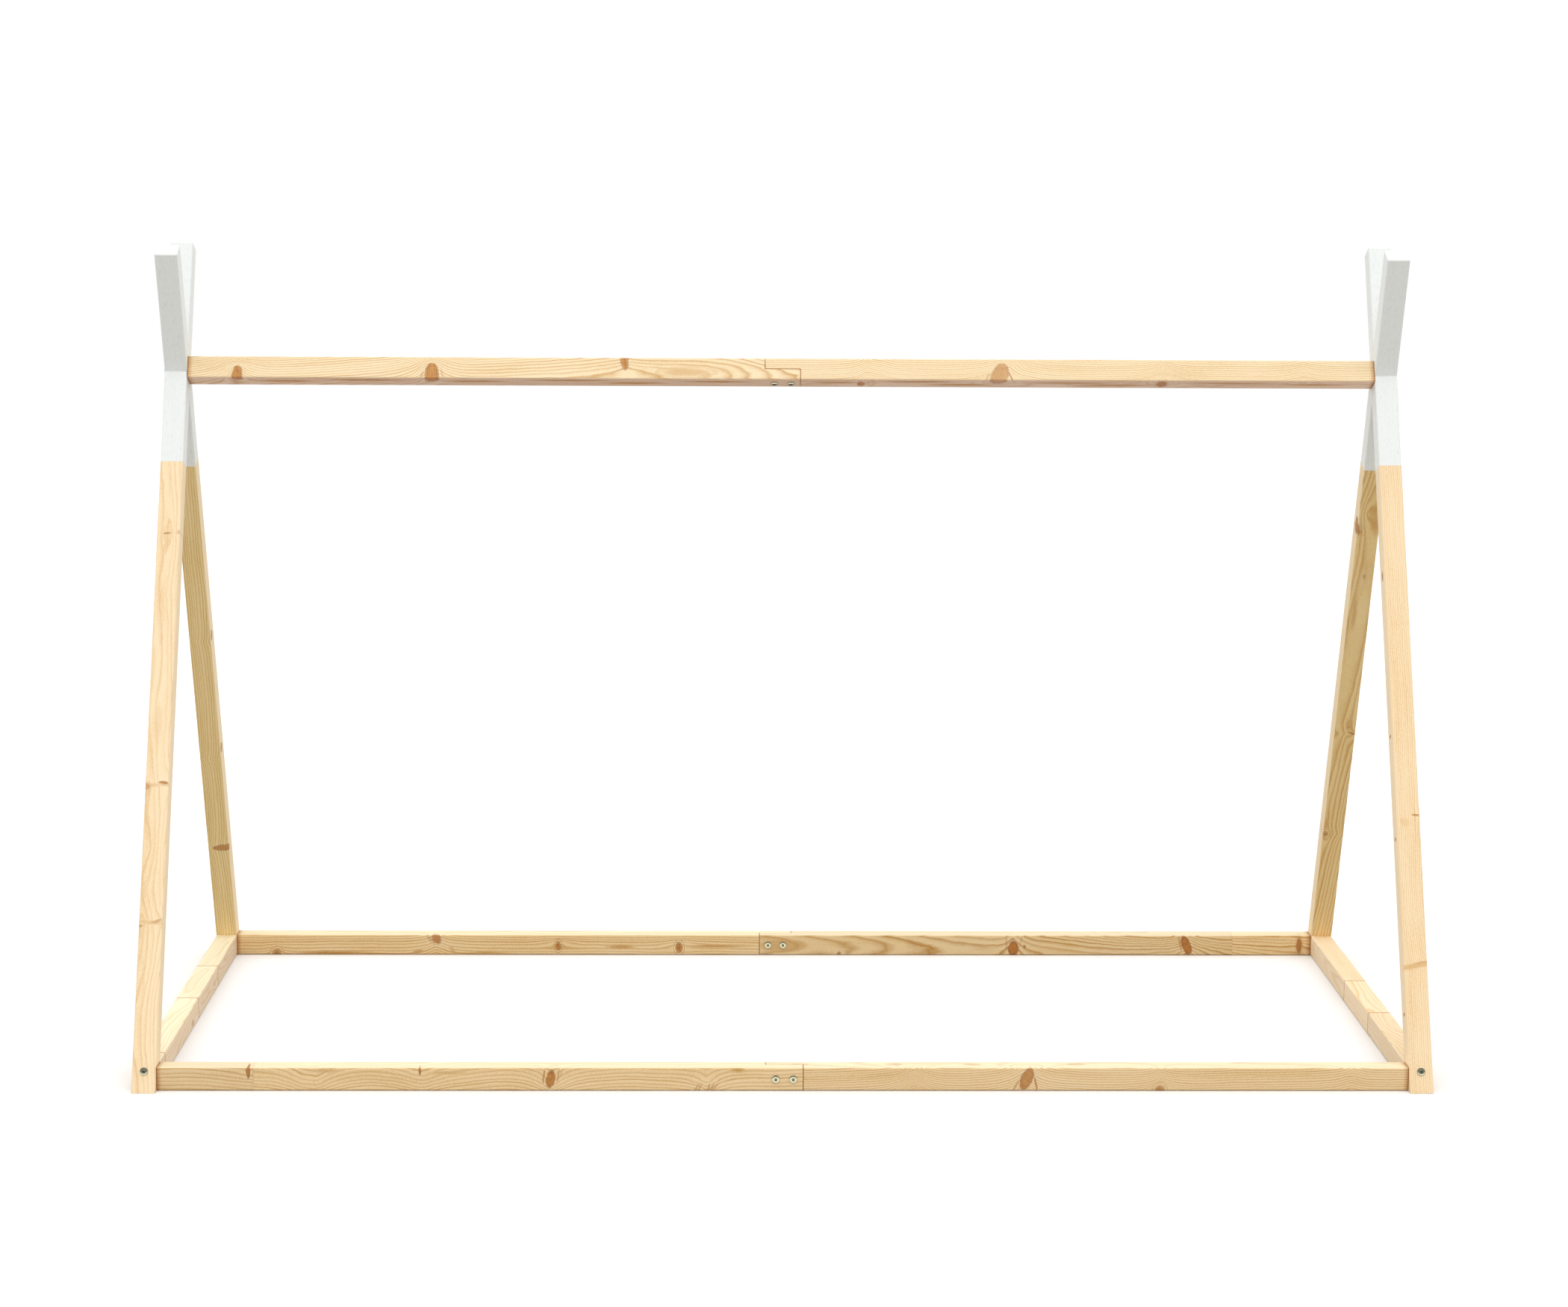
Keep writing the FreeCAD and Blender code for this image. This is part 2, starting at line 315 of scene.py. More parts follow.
class PineGroups:
    """The node groups that every pine material is put together from, each built once.

    Scales of noise are per millimetre along, across and outward. Edges and lines are in millimetres: where a
    mark is full and where it has faded out. Shares say how strongly a layer shows.
    """

    NOISE_MIDDLE = (0.5, 0.5, 0.5)
    ASKEW_SCALE = (0.06, 0.1, 0.1)
    ASKEW_REACH = 2.8

    JOINT_JUMP = (311.0, 17.0, -13.0)
    GLUE_LINE = (0.3, 3.6)
    BLOCK_TURN = (2.2, -1.2)
    BLOCK_TONE = (0.04, 0.97)

    KNOT_TAPER = 3.0
    KNOT_CORE = (-2.0, 1.3)
    KNOT_RIM = (0.2, 1.6)
    KNOT_HALO = (0.5, 9.0)
    KNOT_STAIN = (-3.5, 1.8)
    KNOT_PITH = (0.4, 2.4)
    KNOT_LOOPS = (3.0, 12.0)
    WHORLS_PER_MM = 2.4
    LOOPS_PER_MM = 1.2

    WANDER_SCALE = (0.0045, 0.006, 0.006)
    RIPPLE_SCALE = (0.03, 0.09, 0.09)
    RIPPLE_REACH = 2.1
    RING_PROFILE = ((0.0, 0.45), (0.11, 0.05), (0.4, 0.06), (0.68, 0.42), (0.87, 1.0), (1.0, 0.45))

    FIBRE_SCALE = (0.02, 0.8, 0.8)
    FLECK_SCALE = (0.09, 1.5, 1.5)
    CLOUD_SCALE = (0.007, 0.035, 0.035)
    SPECKLE_SCALE = (0.3, 0.8, 0.8)
    GRIT_SCALE = (0.2, 0.2, 0.2)
    FIBRE_SHARE = 0.16
    FLECK_SHARE = 0.28
    SPECKLE_SHARE = 0.56
    BAND_SHARE = -0.22
    CRUST_SHARE = 0.3
    RESIN = (1.0, 0.86, 0.58, 1.0)
    BLEACHED = (1.0, 0.94, 0.80, 1.0)

    LINE_CORE = 0.2
    LAP_LINE = 1.5
    LAP_SHARE = 0.8
    # painted shade at the butts and along the lower corner, in millimetres
    BUTT_LINE = 3.8
    BUTT_SHADE = 10.0
    BUTT_SHADE_SHARE = 0.6
    FOOT_LINE = 2.6

    PAINT_EDGE_SCALE = (0.2, 0.35, 0.35)
    PAINT_SPECK_SCALE = (0.12, 0.55, 0.55)

    def __init__(self) -> None:
        """Builds all the groups."""
        self.place = self._stick_place()
        self.lengths = self._glued_lengths()
        self.knot = self._branch_knot()
        self.rings = self._growth_rings()
        self.tones = self._pine_tones()
        # painted light on the top and side faces
        self.faces = self._face_tone()
        self.coat = self._white_coat()
        # lap seams, with painted shade at the butts and along the lower corner
        self.seams = self._lap_seams()

    @staticmethod
    def _start(
        name: str, pins: dict[str, Kind], results: dict[str, Kind]
    ) -> tuple[NodeSheet, Sockets, Sockets]:
        """Makes an empty group with its sockets.

        Args:
            name: The group's name.
            pins: Its inputs.
            results: Its outputs.

        Returns:
            The sheet to draw on, the sockets that bring values in and those that take them out.
        """
        tree = bpy.data.node_groups.new(name, "ShaderNodeTree")
        for way, sockets in (("INPUT", pins), ("OUTPUT", results)):
            for label, kind in sockets.items():
                tree.interface.new_socket(name=label, in_out=way, socket_type=kind.value)
        sheet = NodeSheet(tree)
        return sheet, sheet.node("NodeGroupInput").outputs, sheet.node("NodeGroupOutput").inputs

    def _stick_place(self) -> Tree:
        """Where a point lies in its stick: along, across and outward, in millimetres, also as grown askew."""
        ways = ("Along", "Across", "Outward")
        pins = dict.fromkeys(("Origin", *ways), Kind.VECTOR)
        results = dict.fromkeys(("Place", "Grown"), Kind.VECTOR)
        sheet, given, made = self._start("stick_place", pins, results)
        point = sheet.node("ShaderNodeTexCoord").outputs["Object"]
        offset = sheet.vector("SUBTRACT", point, given["Origin"])
        parts = [sheet.vector("DOT_PRODUCT", offset, given[name]) for name in ways]
        place = sheet.scaled(sheet.join(*parts), 1 / MM)
        askew = sheet.noise(sheet.vector("MULTIPLY", place, self.ASKEW_SCALE), 1.0, True)
        askew = sheet.scaled(sheet.vector("SUBTRACT", askew, self.NOISE_MIDDLE), self.ASKEW_REACH)
        sheet.feed(made["Place"], place)
        sheet.feed(made["Grown"], sheet.vector("ADD", place, askew))
        return sheet.tree

    def _glued_lengths(self) -> Tree:
        """Shorter lengths glued end to end: the figure jumps at each joint, with a thin glue line."""
        pins = {"Place": Kind.VECTOR, **dict.fromkeys(GLUE_JOINTS, Kind.VALUE)}
        results = {"Place": Kind.VECTOR, "Seam": Kind.VALUE, "Tone": Kind.VALUE}
        sheet, given, made = self._start("glued_lengths", pins, results)
        along = sheet.split(given["Place"])[0]
        passed: Feed = 0.0
        seam: Feed = 0.0
        for name in GLUE_JOINTS:
            passed = sheet.plus(passed, sheet.math("GREATER_THAN", along, given[name]))
            gap = sheet.size(sheet.minus(along, given[name]))
            seam = sheet.most(seam, sheet.rest(sheet.smooth(gap, *self.GLUE_LINE)))
        jump = sheet.scaled(self.JOINT_JUMP, passed)
        block = sheet.math("SINE", sheet.weighed(passed, *self.BLOCK_TURN))
        sheet.feed(made["Place"], sheet.vector("ADD", given["Place"], jump))
        sheet.feed(made["Seam"], seam)
        sheet.feed(made["Tone"], sheet.weighed(block, *self.BLOCK_TONE))
        return sheet.tree

    def _branch_knot(self) -> Tree:
        """One branch through a stick: core, rim, rings, halo and stain, and the swell it gives the figure."""
        chained = dict.fromkeys(KNOT_MARKS, Kind.VALUE)
        ways = ("Place", "Heart", "Direction", "Parting", "Squeeze", "Drawn")
        sizes = ("Radius", "Depth", "Hump", "Part", "Reach", "Strength", "Tilt", "Tan", "Loops")
        pins = {**dict.fromkeys(ways, Kind.VECTOR), **dict.fromkeys(sizes, Kind.VALUE), **chained}
        sheet, given, made = self._start("branch_knot", pins, chained)
        offset = sheet.vector("SUBTRACT", given["Place"], given["Heart"])

        def off_axis(vector: Feed) -> tuple[Socket, Socket]:
            """Splits a vector into its run along the branch and its distance from it."""
            run = sheet.vector("DOT_PRODUCT", vector, given["Direction"])
            rest = sheet.vector("SUBTRACT", vector, sheet.scaled(given["Direction"], run))
            return run, sheet.vector("LENGTH", rest)

        lean = sheet.vector("DOT_PRODUCT", offset, given["Parting"])
        slant = sheet.join(sheet.times(lean, given["Tilt"]), 0.0, 0.0)
        slanted = sheet.vector("SUBTRACT", offset, slant)
        run, distance = off_axis(sheet.vector("MULTIPLY", slanted, given["Squeeze"]))
        sunk = sheet.clamp(sheet.over(sheet.times(run, -1.0), given["Depth"]), 0.0, 1.0)
        taper = sheet.math("SQRT", sheet.rest(sheet.math("POWER", sunk, self.KNOT_TAPER)))
        radius = sheet.times(given["Radius"], taper)
        there = sheet.smooth(radius, 0.3, 1.0)
        real = sheet.times(there, given["Strength"])
        tanned = sheet.times(there, given["Tan"])
        edge = sheet.minus(distance, radius)

        def within(value: Feed, low: float, high: float, level: Feed = real) -> Socket:
            """The level below low, falling to 0 at high."""
            return sheet.times(sheet.rest(sheet.smooth(value, low, high)), level)

        core = within(edge, *self.KNOT_CORE)
        wave = sheet.math("SINE", sheet.times(distance, self.WHORLS_PER_MM))
        share = sheet.clamp(sheet.over(distance, sheet.most(radius, 0.5)), 0.0, 1.0)
        darkening = sheet.weighed(sheet.math("POWER", share, 3.0), 0.35, 0.1)
        pith = sheet.rest(sheet.smooth(distance, *self.KNOT_PITH))
        darkening = sheet.weighed(pith, 0.45, darkening)
        whorl = sheet.times(core, sheet.weighed(wave, 0.2, darkening))

        inside, far = off_axis(sheet.vector("MULTIPLY", offset, given["Drawn"]))
        past = sheet.minus(sheet.times(inside, -1.0), given["Depth"])
        far = sheet.weighed(sheet.most(past, 0.0), 0.8, far)
        fade = sheet.math("EXPONENT", sheet.times(sheet.over(far, given["Reach"]), -1.0))
        side = sheet.clamp(sheet.over(lean, sheet.most(radius, 3.0)), -1.0, 1.0)
        swell = sheet.weighed(side, given["Part"], given["Hump"])
        sheet.feed(made["Bulge"], sheet.weighed(fade, swell, given["Bulge"]))

        rim = within(sheet.size(edge), *self.KNOT_RIM)
        outline = sheet.math("SINE", sheet.times(sheet.most(edge, 0.0), self.LOOPS_PER_MM))
        looped = within(edge, *self.KNOT_LOOPS, sheet.times(there, given["Loops"]))
        loops = sheet.times(sheet.smooth(outline, -0.1, 0.9), looped)
        stain = sheet.most(within(edge, *self.KNOT_STAIN, tanned), loops)
        halo = within(edge, *self.KNOT_HALO)
        drawn = {"Core": core, "Rim": rim, "Whorl": whorl, "Halo": halo, "Stain": stain}
        for name, value in drawn.items():
            sheet.feed(made[name], sheet.most(value, given[name]))
        return sheet.tree

    def _growth_rings(self) -> Tree:
        """Yearly rings round a wandering pith, each pale at first and dark at its end."""
        vectors = dict.fromkeys(("Place", "Pith", "Drift"), Kind.VECTOR)
        values = dict.fromkeys(("Width", "Wander", "Bulge", "Seed"), Kind.VALUE)
        results = dict.fromkeys(("Ring", "Band"), Kind.VALUE)
        sheet, given, made = self._start("growth_rings", {**vectors, **values}, results)
        along = sheet.split(given["Place"])[0]
        centre = sheet.vector("ADD", given["Pith"], sheet.scaled(given["Drift"], along))
        seed = sheet.grey(given["Seed"])

        def stray(scale: tuple[float, float, float], reach: Feed, detail: float) -> Socket:
            """A slow random offset of the figure."""
            spot = sheet.vector("ADD", sheet.vector("MULTIPLY", given["Place"], scale), seed)
            spread = sheet.vector("SUBTRACT", sheet.noise(spot, detail, True), self.NOISE_MIDDLE)
            return sheet.scaled(spread, reach)

        offset = sheet.vector("SUBTRACT", given["Place"], centre)
        offset = sheet.vector("ADD", offset, stray(self.WANDER_SCALE, given["Wander"], 1.0))
        offset = sheet.vector("ADD", offset, stray(self.RIPPLE_SCALE, self.RIPPLE_REACH, 2.0))
        distance = sheet.vector("LENGTH", sheet.vector("MULTIPLY", offset, (0.0, 1.0, 1.0)))
        distance = sheet.minus(distance, given["Bulge"])

        def drawn(scale: float, shift: float) -> Socket:
            """Noise that changes from ring to ring only."""
            spot = sheet.weighed(distance, scale, shift)
            return sheet.noise(sheet.join(spot, given["Seed"], 0.5), 1.0)

        uneven = sheet.times(drawn(0.07, 3.0), 1.5)
        count = sheet.plus(sheet.over(distance, given["Width"]), uneven)
        ring = sheet.ramp(sheet.math("FRACT", count), self.RING_PROFILE)
        own = sheet.node("ShaderNodeTexWhiteNoise", noise_dimensions="1D")
        sheet.feed(own.inputs["W"], sheet.plus(sheet.math("FLOOR", count), given["Seed"]))
        level = sheet.weighed(own.outputs["Value"], 0.5, 0.5)
        sheet.feed(made["Ring"], sheet.times(ring, level))
        sheet.feed(made["Band"], drawn(0.045, 9.0))
        return sheet.tree

    def _pine_tones(self) -> Tree:
        """Colour, roughness and height of planed pine from its rings, fibres and knots."""
        colours = dict.fromkeys(("Early", "Late", "Heart", "Bark"), Kind.COLOUR)
        masks = ("Ring", "Band", "Core", "Rim", "Whorl", "Halo", "Contrast", "Mottle", "Seed")
        pins = {"Place": Kind.VECTOR, **dict.fromkeys(masks, Kind.VALUE), **colours}
        results = {"Color": Kind.COLOUR, "Roughness": Kind.VALUE, "Height": Kind.VALUE}
        sheet, given, made = self._start("pine_tones", pins, results)
        seed = sheet.grey(given["Seed"])

        def texture(scale: tuple[float, float, float], detail: float) -> Socket:
            """Noise drawn out along the grain."""
            spot = sheet.vector("MULTIPLY", given["Place"], scale)
            return sheet.noise(sheet.vector("ADD", spot, seed), detail)

        fibre = texture(self.FIBRE_SCALE, 3.0)
        fleck = sheet.smooth(texture(self.FLECK_SCALE, 1.0), 0.66, 0.76)
        cloud = texture(self.CLOUD_SCALE, 2.0)
        speckle = texture(self.SPECKLE_SCALE, 2.0)
        grit = texture(self.GRIT_SCALE, 3.0)

        pale = sheet.mix(sheet.times(given["Halo"], 0.2), given["Early"], self.RESIN)
        late = sheet.mix(sheet.times(given["Halo"], 0.6), given["Late"], given["Bark"])
        wood = sheet.mix(sheet.times(given["Ring"], given["Contrast"]), pale, late)
        shade = sheet.times(sheet.minus(cloud, 0.5), given["Mottle"])
        layers = ((fibre, self.FIBRE_SHARE), (speckle, self.SPECKLE_SHARE), (given["Band"], self.BAND_SHARE))
        for layer, share in layers:
            shade = sheet.weighed(sheet.minus(layer, 0.5), share, shade)
        wood = sheet.mix(sheet.clamp(shade, 0.0, 0.5), wood, self.BLEACHED)
        wood = sheet.mix(sheet.clamp(sheet.times(shade, -1.6), 0.0, 0.7), wood, given["Late"])
        wood = sheet.mix(sheet.times(fleck, self.FLECK_SHARE), wood, given["Heart"])

        whorl = sheet.weighed(sheet.minus(grit, 0.5), 1.5, given["Whorl"])
        heart = sheet.mix(sheet.clamp(whorl, 0.0, 0.9), given["Heart"], given["Bark"])
        wood = sheet.mix(given["Core"], wood, heart)
        crust = sheet.times(given["Rim"], sheet.smooth(grit, 0.38, 0.62))
        wood = sheet.mix(sheet.times(crust, self.CRUST_SHARE), wood, given["Bark"])
        sheet.feed(made["Color"], wood)

        rough = sheet.weighed(fibre, 0.16, 0.56)
        sheet.feed(made["Roughness"], sheet.weighed(given["Core"], -0.1, rough))
        relief = sheet.weighed(given["Ring"], 0.25, fibre)
        sheet.feed(made["Height"], sheet.weighed(given["Core"], 0.1, relief))
        return sheet.tree

    def _face_tone(self) -> Tree:
        """Painted light: a tint and a wash for the faces that look one way, standing in for how light falls
        on them.
        """
        colours = dict.fromkeys(("Color", "Tint", "Wash"), Kind.COLOUR)
        pins = {**colours, "Facing": Kind.VECTOR, "Share": Kind.VALUE}
        sheet, given, made = self._start("face_tone", pins, {"Color": Kind.COLOUR})
        normal = sheet.node("ShaderNodeTexCoord").outputs["Normal"]
        # painted light: faces that look the given way get a tint and a wash in place of how light falls on
        # them
        there = sheet.smooth(sheet.vector("DOT_PRODUCT", normal, given["Facing"]), 0.55, 0.92)
        painted_tint = sheet.mix(there, given["Color"], given["Tint"], "MULTIPLY")
        painted_light = sheet.mix(sheet.times(there, given["Share"]), painted_tint, given["Wash"])
        sheet.feed(made["Color"], painted_light)
        return sheet.tree

    def _lap_seams(self) -> Tree:
        """Browned edges where two halves lap, and painted shade where a timber butts on a leg and along its
        lower corner at the floor.
        """
        values = dict.fromkeys(("Lap", "End", "Middle", "Foot"), Kind.VALUE)
        pins = {"Place": Kind.VECTOR, "Split": Kind.VECTOR, **values}
        sheet, given, made = self._start("lap_seams", pins, {"Seam": Kind.VALUE})
        along, across, _ = sheet.split(given["Place"])
        level = sheet.vector("DOT_PRODUCT", given["Place"], given["Split"])

        def line(value: Feed, half_width: float) -> Socket:
            """A soft line where the value passes through 0."""
            return sheet.rest(sheet.smooth(sheet.size(value), self.LINE_CORE, half_width))

        above = sheet.math("GREATER_THAN", level, 0.0)
        left = sheet.times(line(sheet.plus(along, given["Lap"]), self.LAP_LINE), above)
        right = sheet.times(line(sheet.minus(along, given["Lap"]), self.LAP_LINE), sheet.rest(above))
        within = sheet.math("LESS_THAN", sheet.size(along), given["Lap"])
        middle = sheet.times(sheet.times(line(level, self.LAP_LINE), within), given["Middle"])
        lap = sheet.times(sheet.most(sheet.most(left, right), middle), self.LAP_SHARE)
        # painted shade where the timber meets a leg: a dark line and a soft darkening beside it
        short = sheet.minus(sheet.size(along), given["End"])
        shade = sheet.times(line(short, self.BUTT_SHADE), self.BUTT_SHADE_SHARE)
        butt_shadow = sheet.most(line(short, self.BUTT_LINE), shade)
        # painted shade along the lower corner, where the timber meets the floor
        foot = sheet.times(line(sheet.plus(across, HALF_MM), self.FOOT_LINE), given["Foot"])
        sheet.feed(made["Seam"], sheet.most(lap, sheet.most(butt_shadow, foot)))
        return sheet.tree

    def _white_coat(self) -> Tree:
        """Thin white paint above a line along the stick, with the grain still showing in it."""
        results = {"Color": Kind.COLOUR, "Roughness": Kind.VALUE, "Height": Kind.VALUE}
        pins = {
            "Place": Kind.VECTOR, "Line": Kind.VALUE, **results, "Paint": Kind.COLOUR, "Shadow": Kind.COLOUR,
        }
        sheet, given, made = self._start("white_coat", pins, results)
        along = sheet.split(given["Place"])[0]
        stray = sheet.noise(sheet.vector("MULTIPLY", given["Place"], self.PAINT_EDGE_SCALE), 2.0)
        above = sheet.weighed(stray, 0.9, sheet.minus(along, given["Line"]))
        share = sheet.smooth(above, 0.2, 0.8)
        speck = sheet.noise(sheet.vector("MULTIPLY", given["Place"], self.PAINT_SPECK_SCALE), 3.0)
        film = sheet.mix(sheet.smooth(speck, 0.5, 0.8), given["Paint"], given["Shadow"])
        sheet.feed(made["Color"], sheet.mix(share, given["Color"], film))
        painted = {
            "Roughness": sheet.weighed(speck, 0.12, 0.4),
            "Height": sheet.weighed(given["Height"], 0.6, 0.9),
        }
        for name, value in painted.items():
            step = sheet.minus(value, given[name])
            sheet.feed(made[name], sheet.weighed(step, share, given[name]))
        return sheet.tree


@dataclass(frozen=True)
class PineFinish:
    """Colours of one lot of planed pine.

    early, late: the pale and the dark part of a ring.
    heart, bark: the middle of a knot and its dark rings.
    edge: what the lap seams and the painted shade at the butts and the lower corner are multiplied by.
    lap_line and the foot shadow: how far the middle of a lap is browned, and how strong the painted shade is
    along the lower corner, where the timber meets the floor.
    contrast, mottle: how dark the rings and how strong the clouds are.
    top and side light washes and tint: painted light on the top face and on one side face, a tint and washes
    that stand in for how light falls there, with the shares of the washes.
    """

    early: str
    late: str
    heart: str
    bark: str
    edge: str = "AE7410"
    lap_line: float = 0.0
    foot_line: float = 0.0
    contrast: float = 0.8
    mottle: float = 0.35
    top_wash: str = "F8F3CF"
    top_share: float = 0.0
    side_tint: Tone = WHITE
    side_wash: str = "FFEDCE"
    side_share: float = 0.0


# The top and side washes and tints in these finishes are painted light, not wood.
LEG_PINE = PineFinish("FDE4BC", "CA9020", "CA9358", "8E5628", contrast=0.7, mottle=0.32, side_share=0.45)
# The rear legs' pine is darker and more saturated than the leg pine: partly their own wood, partly painted
# shade for their faces that look forward and down.
SHADED_REAR_LEFT_PINE = PineFinish(
    "F3DAA0", "BC8414", "BE8446", "87522C", contrast=0.75, mottle=0.30, side_share=0.6
)
SHADED_REAR_RIGHT_PINE = PineFinish(
    "EFD498", "BE7E18", "BE8648", "87522C", contrast=0.9, mottle=0.30, side_share=0.6
)
RIDGE_PINE = PineFinish(
    "FDE7BE", "C2861C", "D0985A", "8C5730", edge="B47C12", lap_line=1.0, side_tint=(1.05, 0.99, 1.22, 1.0)
)
FRONT_RAIL_PINE = PineFinish(
    "F9DCAC", "BE8820", "C88E4E", "8E532C", foot_line=0.25, contrast=0.85, top_wash="FAF6D8", top_share=0.5
)
REAR_RAIL_PINE = PineFinish(
    "F5D7A2", "BC8018", "C48442", "8A4C28", foot_line=0.25, contrast=0.95, top_wash="FAF6D8", top_share=0.5
)
LEFT_END_PINE = PineFinish(
    "FAE6C0", "D49428", "C08A58", "B8722C", contrast=0.75, top_wash="FEFBDA", top_share=0.48,
    side_wash="FFE6D0", side_share=0.4,
)
RIGHT_END_PINE = PineFinish(
    "FEE9C6", "D89A3C", "C08A58", "B8722C", contrast=0.75, top_wash="F6DEB2", top_share=0.35,
    side_tint=(1.07, 1.02, 0.95, 1.0), side_wash="FFECD0", side_share=0.5,
)


@dataclass(frozen=True)
class WhitePaint:
    """The thin white paint on the leg tips: its film, and where the grain shows through it."""

    film: str = "EEF1EF"
    shadow: str = "DEE2DF"


@dataclass(frozen=True)
class Figure:
    """How a stick was sawn from its log: where the pith lay and how the rings run.

    pith: place of the pith across and outward at the middle of the coordinates, millimetres.
    drift: how far the pith moves across and outward for each millimetre along.
    ring_width, wander: width of a year's growth and how far the rings stray, millimetres.
    seed: where in the noise the stick lies.
    boldness: how dark its rings are beside the finish's own contrast.
    """

    pith: tuple[float, float]
    drift: tuple[float, float] = (0.0, 0.0)
    ring_width: float = 3.2
    wander: float = 14.0
    seed: float = 1.0
    boldness: float = 1.0

    def pith_at(self, along: float) -> Vector:
        """The pith's place across and outward, at a place along the stick."""
        return Vector(self.pith) + Vector(self.drift) * along


@dataclass(frozen=True)
class Knot:
    """A branch in a stick, or only the swell that one left in the figure, in millimetres.

    along, spot: where its middle meets its face, along the stick and across that face.
    width, height: its dark core along and across the stick, 0 for a swell alone.
    lean: slope of the branch along the stick and across the face.
    hump, part, reach: how far the rings rise over it or part round it, and how far off that is felt.
    stretch: how many times farther along the stick than across it that is felt.
    depth: how far it goes into the stick.
    strength: how plainly its core shows.
    tilt: how far its face leans along the stick for each millimetre across it.
    tan: strength of a stain in the colour of late wood, in the knot's shape.
    loops: strength of the closed rings round it.
    """

    along: float
    spot: float = 0.0
    width: float = 0.0
    height: float = 0.0
    face: Face = Face.FRONT
    lean: tuple[float, float] = (0.0, 0.0)
    hump: float = 0.0
    part: float = 0.0
    reach: float | None = None
    stretch: float = 2.2
    depth: float = 34.0
    strength: float = 1.0
    tilt: float = 0.0
    tan: float = 0.0
    loops: float = 0.0

    LEAST_REACH = 5.0
    REACH_BY_HEIGHT = 0.35

    def feeds(self, figure: Figure) -> dict[str, Feed]:
        """Works out the knot group's inputs.

        Args:
            figure: The run of the rings in the stick.

        Returns:
            The inputs by name.
        """
        normal = Vector(self.face.value)
        sideways = Vector((0.0, abs(normal.z), abs(normal.y)))
        heart = Vector((self.along, 0.0, 0.0)) + normal * HALF_MM + sideways * self.spot
        direction = (normal + Vector((self.lean[0], 0.0, 0.0)) + sideways * self.lean[1]).normalized()
        rising = Vector((0.0, heart.y, heart.z)) - Vector((0.0, *figure.pith_at(self.along)))
        turn = 1.0 if rising.dot(sideways) >= 0 else -1.0
        usual_reach = self.LEAST_REACH + self.REACH_BY_HEIGHT * self.height
        return {
            "Heart": heart,
            "Direction": direction,
            "Parting": sideways,
            "Squeeze": (self.height / self.width if self.width else 1.0, 1.0, 1.0),
            "Drawn": (1.0 / self.stretch, 1.0, 1.0),
            "Radius": self.height / 2,
            "Depth": self.depth,
            "Hump": self.hump,
            "Part": self.part * turn,
            "Reach": usual_reach if self.reach is None else self.reach,
            "Strength": self.strength,
            "Tilt": self.tilt,
            "Tan": self.tan,
            "Loops": self.loops,
        }


@dataclass(frozen=True)
class Wood:
    """What one stick is made of.

    joints: where shorter lengths are glued end to end, millimetres along the stick.
    paint_line: where the white paint begins, millimetres along the stick.
    """

    finish: PineFinish
    figure: Figure
    knots: tuple[Knot, ...] = ()
    joints: tuple[float, ...] = ()
    paint_line: float | None = None


@dataclass(frozen=True)
class StickFrame:
    """A stick's own axes: a point on its centre line, and the ways along, across and outward."""

    origin: Vector
    along: Vector
    across: Vector
    outward: Vector


